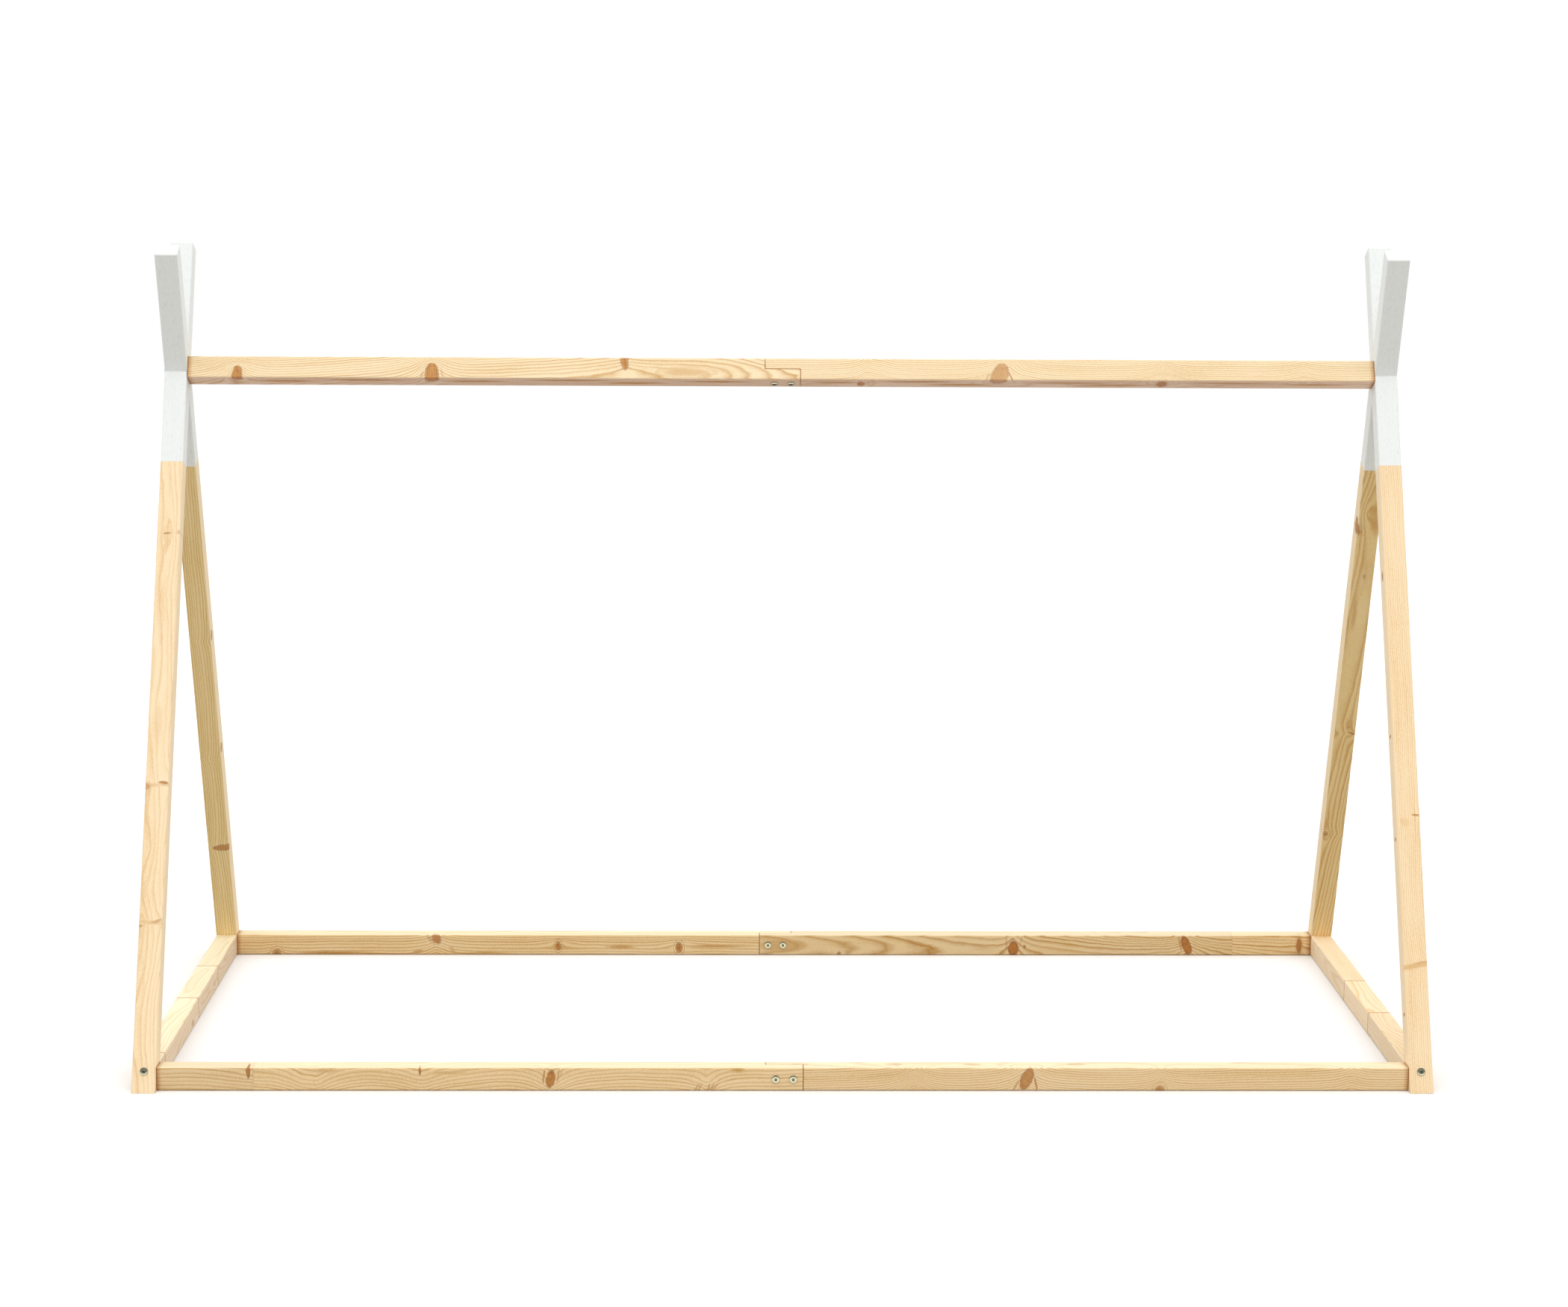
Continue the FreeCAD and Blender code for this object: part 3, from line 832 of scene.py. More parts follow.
@dataclass
class Stick:
    """One length of square pine: the piece from the frame, its axes and its wood.

    lap_split: the side of a half-lapped timber on which the right half's tongue lies.
    glue_line: how dark the lines between glued lengths are.
    painted light side: the face that has the finish's side tint and wash, painted light on that side.
    """

    node: str
    place: StickFrame
    wood: Wood
    lap_split: Face | None = None
    glue_line: float = 0.07
    side_face: Face = Face.LOWER

    NO_JOINT = 1.0e6
    BUMP_STRENGTH = 0.35
    BUMP_DEPTH = 0.0004
    IOR = 1.45
    SPECULAR_LEVEL = 0.2

    def dress(self, groups: PineGroups) -> None:
        """Gives the piece its own pine material.

        Args:
            groups: The node groups to put it together from.
        """
        material, sheet = new_material(f"pine_{self.node}")
        look = self._look(sheet, groups)
        bump = sheet.node("ShaderNodeBump")
        sheet.fill(bump, {
            "Strength": self.BUMP_STRENGTH, "Distance": self.BUMP_DEPTH, "Height": look["Height"],
        })
        sheet.fill(sheet.own("Principled BSDF"), {
            "Base Color": look["Color"], "Roughness": look["Roughness"], "Normal": bump.outputs["Normal"],
            "IOR": self.IOR, "Specular IOR Level": self.SPECULAR_LEVEL,
        })
        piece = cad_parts[self.node]
        piece.data.materials.clear()
        piece.data.materials.append(material)
        log.info("dressed %s with %d knots", self.node, len(self.wood.knots))

    def _look(self, sheet: NodeSheet, groups: PineGroups) -> dict[str, Socket]:
        """Lays out the wood with its knots, painted light on its faces, glue lines, seams with painted shade
        at the butts and lower corner, and paint.

        Args:
            sheet: The material's nodes.
            groups: The node groups to place.

        Returns:
            Its colour, roughness and height.
        """
        wood = self.wood
        placed = sheet.group(groups.place, {
            "Origin": self.place.origin, "Along": self.place.along,
            "Across": self.place.across, "Outward": self.place.outward,
        })
        straight = placed["Place"]
        place, glued = straight, None
        if wood.joints:
            spots = (*wood.joints, self.NO_JOINT, self.NO_JOINT)
            joints = dict(zip(GLUE_JOINTS, spots))
            glued = sheet.group(groups.lengths, {"Place": straight, **joints})
            place = glued["Place"]
        marks: dict[str, Feed] = dict.fromkeys(KNOT_MARKS, 0.0)
        for knot in wood.knots:
            made = sheet.group(groups.knot, {"Place": placed["Grown"], **knot.feeds(wood.figure), **marks})
            marks = {name: made[name] for name in marks}
        look = self._figured(sheet, groups, place, marks)
        # painted light on the top and the side face
        look["Color"] = self._faces(sheet, groups, look["Color"], marks["Core"])
        if glued is not None:
            look["Color"] = sheet.mix(1.0, look["Color"], sheet.grey(glued["Tone"]), "MULTIPLY")
            glue = sheet.times(glued["Seam"], self.glue_line)
            look["Color"] = sheet.mix(glue, look["Color"], colour(wood.finish.bark))
        if self.lap_split is not None:
            seam = sheet.group(groups.seams, {
                "Place": straight, "Split": self.lap_split.value,
                "Lap": LAP_LENGTH_MM / 2, "End": INNER_X / MM,
                "Middle": wood.finish.lap_line, "Foot": wood.finish.foot_line,
            })["Seam"]
            # darkens the lap seams and paints shade at the butts and along the lower corner
            look["Color"] = sheet.mix(seam, look["Color"], colour(wood.finish.edge), "MULTIPLY")
        if wood.paint_line is not None:
            paint = {"Paint": colour(WhitePaint.film), "Shadow": colour(WhitePaint.shadow)}
            coat = sheet.group(groups.coat, {"Place": straight, "Line": wood.paint_line, **look, **paint})
            look = {name: coat[name] for name in look}
        return look

    def _figured(
        self, sheet: NodeSheet, groups: PineGroups, place: Socket, marks: dict[str, Feed]
    ) -> dict[str, Socket]:
        """Draws the rings and the knots.

        Args:
            sheet: The material's nodes.
            groups: The node groups to place.
            place: Where a point lies in the stick, past any glued joints.
            marks: What the knots leave at that point.

        Returns:
            Colour, roughness and height of the bare wood.
        """
        finish, figure = self.wood.finish, self.wood.figure
        rings = sheet.group(groups.rings, {
            "Place": place, "Pith": (0.0, *figure.pith), "Drift": (0.0, *figure.drift),
            "Width": figure.ring_width, "Wander": figure.wander,
            "Bulge": marks["Bulge"], "Seed": figure.seed,
        })
        tones = sheet.group(groups.tones, {
            "Place": place, "Band": rings["Band"], "Ring": sheet.most(rings["Ring"], marks["Stain"]),
            **{name: marks[name] for name in ("Core", "Rim", "Whorl", "Halo")},
            "Early": colour(finish.early), "Late": colour(finish.late),
            "Heart": colour(finish.heart), "Bark": colour(finish.bark),
            "Contrast": finish.contrast * figure.boldness, "Mottle": finish.mottle, "Seed": figure.seed,
        })
        return {name: tones[name] for name in ("Color", "Roughness", "Height")}

    def _faces(self, sheet: NodeSheet, groups: PineGroups, wood: Socket, core: Feed) -> Socket:
        """Paints light on the top and the side face with a tint and a wash, except on knots.

        Args:
            sheet: The material's nodes.
            groups: The node groups to place.
            wood: Colour of the wood so far.
            core: Where the cores of knots are.

        Returns:
            The colour with painted light on those faces.
        """
        finish = self.wood.finish
        painted_light_way = self.place.across * self.side_face.value[1]
        faces = (
            (Z_AXIS, WHITE, finish.top_wash, finish.top_share),
            (painted_light_way, finish.side_tint, finish.side_wash, finish.side_share),
        )
        clear = sheet.rest(core)
        for facing, tint, wash, share in faces:
            wood = sheet.group(groups.faces, {
                "Facing": facing, "Tint": tint, "Wash": colour(wash), "Color": wood,
                "Share": sheet.times(clear, share),
            })["Color"]
        return wood


@dataclass(frozen=True)
class ScrewSeat:
    """Where a screw's head rests, and the way that its shank goes in."""

    point: Vector
    inward: Vector
    length: float


@dataclass
class ScrewSet:
    """Round-headed furniture screws with a hexagonal socket, as one piece of several screws.

    Sizes are in metres.
    """

    node: str
    seats: list[ScrewSeat]
    head_radius: float = 0.0062
    wall: float = 0.0015
    head_height: float = 0.0029
    socket_flats: float = 0.0048
    socket_depth: float = 0.0022
    drill_depth: float = 0.0005
    dish_depth: float = 0.0003
    edge_round: float = 0.0001
    neck_radius: float = 0.0029
    root_radius: float = 0.0021
    pitch: float = 0.0028
    tip: float = 0.005

    AROUND = 36
    DOME_RINGS = 6
    RINGS_PER_TURN = 5
    SOCKET_RINGS = 2
    DISH_SHARE = 0.35
    MOUTH_PER_FLATS = 0.66
    DOME_POWER = 0.9
    PLAIN_SHARE = 0.35
    SHARP_EDGE = math.radians(40)

    @property
    def name(self) -> str:
        """The new piece's name."""
        return self.node.replace("screw", "button_screw")

    def _circle(self, radius: float, height: float) -> list[Vector]:
        """Points of a ring about the screw's axis."""
        turns = [2 * math.pi * k / self.AROUND for k in range(self.AROUND)]
        return [Vector((radius * math.sin(a), radius * math.cos(a), height)) for a in turns]

    def _hexagon(self, scale: float, height: float) -> list[Vector]:
        """Points of the socket's hexagon, one corner at the foot of the head."""
        sixth = math.pi / 3
        points = []
        for point in self._circle(1.0, height):
            angle = math.atan2(point.x, point.y)
            reach = scale * self.socket_flats / 2 / math.cos((angle % sixth) - sixth / 2)
            points.append(Vector((point.x * reach, point.y * reach, height)))
        return points

    def _head(self) -> list[list[Vector]]:
        """Rings from the socket's floor, over the dome, to the face that rests on the wood."""
        top, floor = self.head_height, self.head_height - self.socket_depth
        mouth = self.socket_flats * self.MOUTH_PER_FLATS
        rings = [
            self._hexagon(self.DISH_SHARE, floor - self.dish_depth),
            self._hexagon(1.0, floor),
            self._hexagon(1.0, top - self.edge_round),
            self._circle(mouth, top + self.edge_round / 2),
        ]
        for k in range(1, self.DOME_RINGS + 1):
            turn = k / self.DOME_RINGS * math.pi / 2
            radius = mouth + (self.head_radius - mouth) * math.sin(turn)
            rise = (top - self.wall) * math.cos(turn) ** self.DOME_POWER
            rings.append(self._circle(radius, self.wall + rise))
        rings.append(self._circle(self.head_radius, self.edge_round))
        rings.append(self._circle(self.head_radius - self.edge_round, 0.0))
        return rings

    def _shank(self, length: float) -> list[list[Vector]]:
        """Rings down the plain neck and the thread.

        Args:
            length: Length under the head.

        Returns:
            The rings, from the head to the tip.
        """
        plain = length * self.PLAIN_SHARE
        rings = [self._circle(self.neck_radius, height) for height in (0.0, -plain)]
        step = self.pitch / self.RINGS_PER_TURN
        count = int((length - plain) / step)
        for k in range(1, count):
            depth = plain + k * step
            taper = min(1.0, (length - depth) / self.tip)
            points = []
            for j, point in enumerate(self._circle(1.0, -depth)):
                turn = (depth / self.pitch + j / self.AROUND) % 1.0
                crest = max(0.0, 1.0 - abs(turn - 0.5) * 4.0)
                reach = (self.root_radius + (self.neck_radius - self.root_radius) * crest) * taper
                points.append(Vector((point.x * reach, point.y * reach, -depth)))
            rings.append(points)
        return rings

    @staticmethod
    def _stand(seat: ScrewSeat) -> Matrix:
        """The place of one screw: its axis out of the wood, a socket corner at the foot of the head."""
        out = -seat.inward.normalized()
        upright = Z_AXIS - out * out.z
        if upright.length < 0.1:
            upright = Y_AXIS - out * out.y
        upright.normalize()
        turned = Matrix((upright.cross(out), upright, out)).transposed().to_4x4()
        return Matrix.Translation(seat.point) @ turned

    def _screw(self, mesh: bmesh.types.BMesh, seat: ScrewSeat) -> None:
        """Adds one screw to the mesh, with the socket in the second material, a darker nickel that paints
        shade in the recess.

        Args:
            mesh: The mesh of the whole set.
            seat: Where the screw sits.
        """
        stand = self._stand(seat)
        rings = self._head() + self._shank(seat.length)
        rows = [[mesh.verts.new(stand @ point) for point in ring] for ring in rings]
        for j, (upper, lower) in enumerate(zip(rows, rows[1:])):
            for k in range(self.AROUND):
                n = (k + 1) % self.AROUND
                side = mesh.faces.new((upper[k], upper[n], lower[n], lower[k]))
                # the socket's rings take the darker material: painted shade in the recess
                side.material_index = int(j < self.SOCKET_RINGS)
        bottom = self.head_height - self.socket_depth - self.drill_depth
        for row, depth in ((rows[0], bottom), (rows[-1], -seat.length)):
            centre = mesh.verts.new(stand @ Vector((0.0, 0.0, depth)))
            for k in range(self.AROUND):
                end = mesh.faces.new((row[k], row[(k + 1) % self.AROUND], centre))
                end.material_index = int(row is rows[0])

    def build(self, metal: "ScrewMetal") -> bpy.types.Object:
        """Builds the screws as one mesh.

        Args:
            metal: What they are made of.

        Returns:
            The new piece, in place of its node.
        """
        mesh = bmesh.new()
        for seat in self.seats:
            self._screw(mesh, seat)
        bmesh.ops.recalc_face_normals(mesh, faces=mesh.faces)
        for item in mesh.faces:
            item.smooth = True
        data = bpy.data.meshes.new(self.name)
        mesh.to_mesh(data)
        mesh.free()
        data.set_sharp_from_angle(angle=self.SHARP_EDGE)
        data.materials.append(metal.plate)
        # the darker socket material is painted shade
        data.materials.append(metal.socket)
        piece = new_object(self.name, data)
        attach(piece, ROOT_BODY)
        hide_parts(self.node)
        log.info("built %s: %d screws", self.name, len(self.seats))
        return piece


@dataclass(frozen=True)
class NickelFinish:
    """Nickel plate over turned steel, with painted reflection and shade in its colour: brighter where it
    looks level towards the pale floor, darker where it looks up or far down.

    low, high: painted reflection, its colour on parts that look level and on parts that look up; parts that
    look far down take some of the darker one as painted shade.
    rim: painted dark reflection where it is seen at a slant.
    """

    name: str
    low: str
    high: str
    rim: str
    roughness: float

    BLOOM_SCALE = 420.0
    SCRATCH_SCALE = (900.0, 900.0, 6000.0)
    LOOKING_UP = (0.08, 0.42)
    LOOKING_DOWN = (-0.5, -0.95)
    DOWN_SHARE = 0.6
    RIM_EDGE = (0.3, 0.7)

    def material(self) -> bpy.types.Material:
        """Makes the metal: painted reflection and shade by the way it faces, a painted dark rim, faint
        turning lines and a dull bloom in patches.
        """
        material, sheet = new_material(self.name)
        space = sheet.node("ShaderNodeTexCoord").outputs
        cloud = sheet.noise(sheet.scaled(space["Object"], self.BLOOM_SCALE), 3.0)
        scratch = sheet.noise(sheet.vector("MULTIPLY", space["Object"], self.SCRATCH_SCALE), 2.0)
        rise = sheet.split(space["Normal"])[2]
        # painted reflection: bright where the face looks level, dark where it looks up
        plate = sheet.mix(sheet.smooth(rise, *self.LOOKING_UP), colour(self.low), colour(self.high))
        # painted shade where the face looks far down
        shaded = sheet.times(sheet.smooth(rise, *self.LOOKING_DOWN), self.DOWN_SHARE)
        plate = sheet.mix(shaded, plate, colour(self.high))
        # painted dark rim reflection where the head is seen at a slant
        edge = sheet.node("ShaderNodeLayerWeight")
        sheet.feed(edge.inputs["Blend"], 0.5)
        plate = sheet.mix(sheet.smooth(edge.outputs["Facing"], *self.RIM_EDGE), plate, colour(self.rim))
        bloom = sheet.weighed(cloud, 0.2, 0.9)
        plate = sheet.mix(1.0, plate, sheet.grey(bloom), "MULTIPLY")
        bump = sheet.node("ShaderNodeBump")
        sheet.fill(bump, {"Strength": 0.12, "Distance": 0.0001, "Height": scratch})
        sheet.fill(sheet.own("Principled BSDF"), {
            "Base Color": plate, "Roughness": sheet.weighed(cloud, 0.14, self.roughness),
            "Metallic": 1.0, "Normal": bump.outputs["Normal"],
        })
        return material


NICKEL = NickelFinish("nickel_plate", "DFDCBE", "64685A", "2C2A18", 0.24)
# darker nickel for the socket: painted shade in the recess
SHADED_SOCKET_NICKEL = NickelFinish("nickel_in_the_socket", "8C8A62", "454839", "24231A", 0.4)


class ScrewMetal:
    """The two materials of a screw: the plate, and a darker copy that paints shade inside the socket."""

    def __init__(self) -> None:
        """Makes the plate and a darker copy of it for inside the socket, painted shade in that recess."""
        self.plate = NICKEL.material()
        self.socket = SHADED_SOCKET_NICKEL.material()


@dataclass
class EndFrame:
    """One end of the bed: a front and a rear leg that cross, the floor rail between them and their screws.

    The screws' sizes are in metres.
    """

    side: Side
    legs: dict[Row, Wood]
    rail: Wood
    foot_screw_up: float = 0.03515
    foot_screw_length: float = 0.0633
    long_screw_length: float = 0.0803
    rail_screw_setback: float = 0.017
    rail_screw_height: float = 0.011

    RAIL_GLUE_LINE = 0.75

    @property
    def inner_face(self) -> Face:
        """The face of its sticks that looks to the middle of the bed."""
        return Face.UPPER if self.side is Side.LEFT else Face.LOWER

    @property
    def middle_x(self) -> float:
        """Middle of the end's thickness."""
        return self.side.value * (INNER_X + HALF)

    def leg_frame(self, row: Row) -> StickFrame:
        """The axes of a leg, with its photographed face outward.

        Args:
            row: Whether it is the front or the rear leg.

        Returns:
            Axes that start at the foot.
        """
        foot = Vector((self.middle_x, row.value * FOOT_Y, 0.0))
        if row is Row.FRONT:
            return StickFrame(foot - FRONT_LEG_OUT * HALF, FRONT_LEG_RUN, X_AXIS, FRONT_LEG_OUT)
        return StickFrame(foot + REAR_LEG_IN * HALF, REAR_LEG_RUN, X_AXIS, REAR_LEG_IN)

    def dress(self, groups: PineGroups) -> None:
        """Dresses both legs and the floor rail."""
        for row, wood in self.legs.items():
            node = f"{row.name.lower()}_{self.side.word}_leg"
            Stick(node, self.leg_frame(row), wood, side_face=self.inner_face).dress(groups)
        start = Vector((self.middle_x, -RAIL_OUTER_Y, HALF))
        place = StickFrame(start, Y_AXIS, X_AXIS, Z_AXIS)
        rail = Stick(f"{self.side.word}_end_rail", place, self.rail, side_face=self.inner_face)
        rail.glue_line = self.RAIL_GLUE_LINE
        rail.dress(groups)

    def build_screws(self, metal: ScrewMetal) -> None:
        """Builds the screws at the feet, in the rail ends and at the crossing."""
        inward = X_AXIS * -self.side.value
        outer_x = self.side.value * OUTER_X
        crossing = ScrewSeat(Vector((outer_x, 0.0, RIDGE_HEIGHT)), inward, self.long_screw_length)
        sets: dict[str, list[ScrewSeat]] = {"foot_screws": [], "rail_screws": [], "ridge_screw": [crossing]}
        for row in Row:
            sign = row.value
            lift = Vector((0.0, -sign * FRONT_LEG_RUN.y, FRONT_LEG_RUN.z)) * self.foot_screw_up
            into = Vector((0.0, -sign * math.cos(LEG_LEAN), -math.sin(LEG_LEAN)))
            seat = Vector((self.middle_x, sign * FOOT_Y, 0.0)) + lift
            sets["foot_screws"].append(ScrewSeat(seat, into, self.foot_screw_length))
            spot = Vector((outer_x, sign * (RAIL_OUTER_Y - self.rail_screw_setback), self.rail_screw_height))
            sets["rail_screws"].append(ScrewSeat(spot, inward, self.long_screw_length))
        for name, seats in sets.items():
            ScrewSet(f"{self.side.word}_{name}", seats).build(metal)


@dataclass
class LongTimber:
    """A timber the length of the bed, in two halves that lap in the middle."""

    name: str
    place: StickFrame
    lap_split: Face
    halves: dict[Side, Wood]

    def dress(self, groups: PineGroups) -> None:
        """Dresses both halves."""
        for side, wood in self.halves.items():
            Stick(f"{self.name}_{side.word}_half", self.place, wood, self.lap_split).dress(groups)


@dataclass
class LapScrews:
    """The screws through the three laps, one on each side of the middle, in metres."""

    spacing: float = 0.028
    length: float = 0.0321

    def build(self, metal: ScrewMetal) -> None:
        """Builds the left and the right set."""
        faces = (
            (Vector((0.0, -RAIL_OUTER_Y, HALF)), Y_AXIS),
            (Vector((0.0, RAIL_OUTER_Y - SECTION, HALF)), Y_AXIS),
            (Vector((0.0, 0.0, RIDGE_HEIGHT)) - FRONT_LEG_RUN * HALF, FRONT_LEG_RUN),
        )
        for side in Side:
            shift = X_AXIS * side.value * self.spacing / 2
            seats = [ScrewSeat(point + shift, inward, self.length) for point, inward in faces]
            ScrewSet(f"{side.word}_lap_screws", seats).build(metal)


@dataclass
class Studio:
    """A plain pale floor, soft light and the camera at the photograph's angle.

    Lengths are in metres and angles in degrees. The focal length is in pixels of the photograph's width.
    """

    floor_radius: float = 14.0
    floor_sides: int = 96
    floor_drop: float = 0.0003
    floor_seen: Tone = (0.95, 0.95, 0.95, 1.0)
    floor_bounce: Tone = (0.37, 0.35, 0.32, 1.0)
    sky: float = 1.06
    lamp_strength: float = 0.32
    lamp_softness: float = 70.0
    lamp_elevation: float = 58.0
    lamp_spread: float = 30.0
    frame_width: float = 2100.0
    focal_pixels: float = 4696.5
    camera_at: tuple[float, float, float] = (-0.1065, -5.9601, 1.5095)
    pitch: float = -8.326
    yaw: float = 1.070
    roll: float = 0.297

    def build(self) -> None:
        """Sets up everything round the object."""
        self._floor()
        self._world()
        self._lamps()
        self._camera()
        bpy.context.scene.view_settings.view_transform = "Standard"

    @staticmethod
    def _by_ray(sheet: NodeSheet, hidden: bpy.types.Node, seen: bpy.types.Node, output: str) -> None:
        """Shows one shader to rays from the camera, from mirrors and through glass, and another to the rest.

        Args:
            sheet: The nodes to add to.
            hidden: The shader that lights other things.
            seen: The shader that is looked at.
            output: Name of the output node.
        """
        blend = sheet.node("ShaderNodeMixShader")
        path = sheet.node("ShaderNodeLightPath").outputs
        mirrored = sheet.most(path["Is Glossy Ray"], path["Is Transmission Ray"])
        looked = sheet.most(path["Is Camera Ray"], mirrored)
        sheet.fill(blend, {0: looked, 1: hidden.outputs[0], 2: seen.outputs[0]})
        sheet.feed(sheet.own(output).inputs["Surface"], blend.outputs[0])

    def _floor(self) -> None:
        """Lays a round floor that looks white and throws little light back."""
        mesh = bmesh.new()
        bmesh.ops.create_circle(mesh, cap_ends=True, segments=self.floor_sides, radius=self.floor_radius)
        data = bpy.data.meshes.new("studio_floor")
        mesh.to_mesh(data)
        mesh.free()
        floor = new_object("studio_floor", data)
        floor.location.z = -self.floor_drop
        material, sheet = new_material("studio_white")
        sheet.tree.nodes.remove(sheet.own("Principled BSDF"))
        seen = sheet.node("ShaderNodeBsdfDiffuse")
        sheet.fill(seen, {"Color": self.floor_seen})
        bounced = sheet.node("ShaderNodeBsdfDiffuse")
        sheet.fill(bounced, {"Color": self.floor_bounce})
        self._by_ray(sheet, bounced, seen, "Material Output")
        data.materials.append(material)

    def _world(self) -> None:
        """A plain sky that looks white and lights the bed softly."""
        world = bpy.data.worlds.new("studio_sky")
        world.use_nodes = True
        bpy.context.scene.world = world
        sheet = NodeSheet(world.node_tree)
        light = sheet.own("Background")
        sheet.fill(light, {"Color": WHITE, "Strength": self.sky})
        seen = sheet.node("ShaderNodeBackground")
        sheet.fill(seen, {"Color": WHITE, "Strength": 1.0})
        self._by_ray(sheet, light, seen, "World Output")

    @staticmethod
    def _way(turn: float, rise: float) -> Vector:
        """The direction at an angle from +Y towards +X and an angle above the floor, in radians."""
        return Vector((math.sin(turn) * math.cos(rise), math.cos(turn) * math.cos(rise), math.sin(rise)))

    def _lamps(self) -> None:
        """Two wide soft lamps far off, up at the front left and right."""
        rise = math.radians(self.lamp_elevation)
        for side in Side:
            away = self._way(math.radians(180.0 - self.lamp_spread * side.value), rise)
            data = bpy.data.lights.new(f"soft_lamp_{side.word}", "SUN")
            data.angle = math.radians(self.lamp_softness)
            data.energy = self.lamp_strength
            lamp = new_object(data.name, data)
            lamp.location = away * self.floor_radius
            lamp.rotation_mode = "QUATERNION"
            lamp.rotation_quaternion = (-away).to_track_quat("-Z", "Y")

    def _camera(self) -> None:
        """The camera as worked out from the edges of the bed in the photograph."""
        pitch, yaw, roll = (math.radians(angle) for angle in (self.pitch, self.yaw, self.roll))
        ahead = self._way(yaw, pitch)
        right = ahead.cross(Z_AXIS).normalized()
        up = right.cross(ahead)
        tilted_right = right * math.cos(roll) + up * math.sin(roll)
        tilted_up = up * math.cos(roll) - right * math.sin(roll)
        data = bpy.data.cameras.new("photo_camera")
        data.sensor_fit = "HORIZONTAL"
        data.lens = data.sensor_width * self.focal_pixels / self.frame_width
        camera = new_object("photo_camera", data)
        turned = Matrix((tilted_right, tilted_up, -ahead)).transposed().to_4x4()
        camera.matrix_world = Matrix.Translation(self.camera_at) @ turned
        bpy.context.scene.camera = camera


def band(along: float, width: float, share: float, lean: float = 0.0, depth: float = 70.0) -> Knot:
    """A branch that lies in the photographed face and crosses it as a brownish band."""
    return Knot(
        along, 17.5, width, width, Face.UPPER, (lean, 0.0), hump=3.0, reach=10.0, depth=depth, strength=0.0,
        tan=share,
    )


def streak(
    along: float, spot: float, width: float, height: float, share: float, face: Face = Face.FRONT
) -> Knot:
    """A long stain in the colour of late wood."""
    return Knot(along, spot, width, height, face, depth=6.0, strength=0.0, tan=share)


def under_streak(along: float, spot: float, width: float) -> Knot:
    """A dark streak along the underside."""
    return streak(along, spot, width, 10.0, 1.1, Face.LOWER)


def stroke(along: float, spot: float, height: float, tilt: float, share: float = 0.9) -> Knot:
    """A thin brown stroke beside a knot, across the grain."""
    return Knot(along, spot, 3.4, height, depth=9.0, strength=share, tilt=tilt)


def swell(along: float, hump: float, reach: float, depth: float = 90.0, stretch: float = 2.2) -> Knot:
    """The swell that a hidden branch left in the figure, the same from the lower edge up to its depth."""
    return Knot(along, 16.0, face=Face.LOWER, hump=hump, reach=reach, depth=depth, stretch=stretch)


def left_end() -> EndFrame:
    """The left end, with its wood as photographed."""
    front = (
        Knot(935, -2, 4, 12, part=7, reach=14, strength=0.7, tan=0.9, loops=0.5, tilt=0.15),
        Knot(937, 17, 8, 7, part=2, strength=0.3, tan=0.8),
        streak(935, -2, 34, 24, 0.45),
        band(506, 8, 1.1, 0.05),
        Knot(509, 10, 5, 15, part=5, reach=14, strength=0.9, tan=1.0),
        Knot(503, -18, 11, 14, part=4, reach=14, strength=0.5, tan=1.2),
        band(275, 8, 1.1, -0.1),
        Knot(279, 10, 6, 16, part=5, reach=14, strength=0.35, tan=1.2, tilt=0.3),
        Knot(271, -17, 5, 9, part=4, reach=12, strength=0.6, tan=0.9),
        streak(800, -6, 110, 12, 0.4),
        streak(610, -3, 70, 16, 0.45),
        streak(430, -12, 40, 10, 0.4),
        streak(330, -12, 40, 10, 0.5),
        streak(180, -8, 110, 8, 0.45),
        Knot(400, -10, hump=9, reach=15),
        Knot(330, -6, hump=-6, reach=14, stretch=3.0),
        Knot(640, -4, hump=-5, reach=16, stretch=6.0),
    )
    rear = (
        Knot(258, 17, 14, 14, Face.UPPER, (0.1, 0.0), hump=4, reach=10, depth=31, strength=0.85),
        *(Knot(s, 6, 20, 20, Face.UPPER, depth=8, strength=0.9) for s in (469, 707)),
        swell(452, 6, 9, stretch=1.2),
        swell(700, 3, 9, stretch=1.0),
    )
    rail = (
        Knot(392, -9, 26, 12, Face.UPPER, depth=8, strength=0.6),
        Knot(660, -2, 26, 10, Face.UPPER, depth=8, strength=0.4),
    )
    front_figure = Figure((-28, -28), (0.0, -0.01), ring_width=4.0, wander=24, seed=2.0, boldness=0.55)
    rear_figure = Figure((62, -30), ring_width=3.6, wander=12, seed=5.0)
    rail_figure = Figure((-30, -26), (0.05, 0.0), ring_width=4.2, wander=26, seed=7.0)
    legs = {
        Row.FRONT: Wood(LEG_PINE, front_figure, front, paint_line=FRONT_PAINT_LINE_MM),
        Row.REAR: Wood(SHADED_REAR_LEFT_PINE, rear_figure, rear, paint_line=REAR_PAINT_LINE_MM),
    }
    return EndFrame(Side.LEFT, legs, Wood(LEFT_END_PINE, rail_figure, rail, joints=(93.0, 461.0, 698.0)))


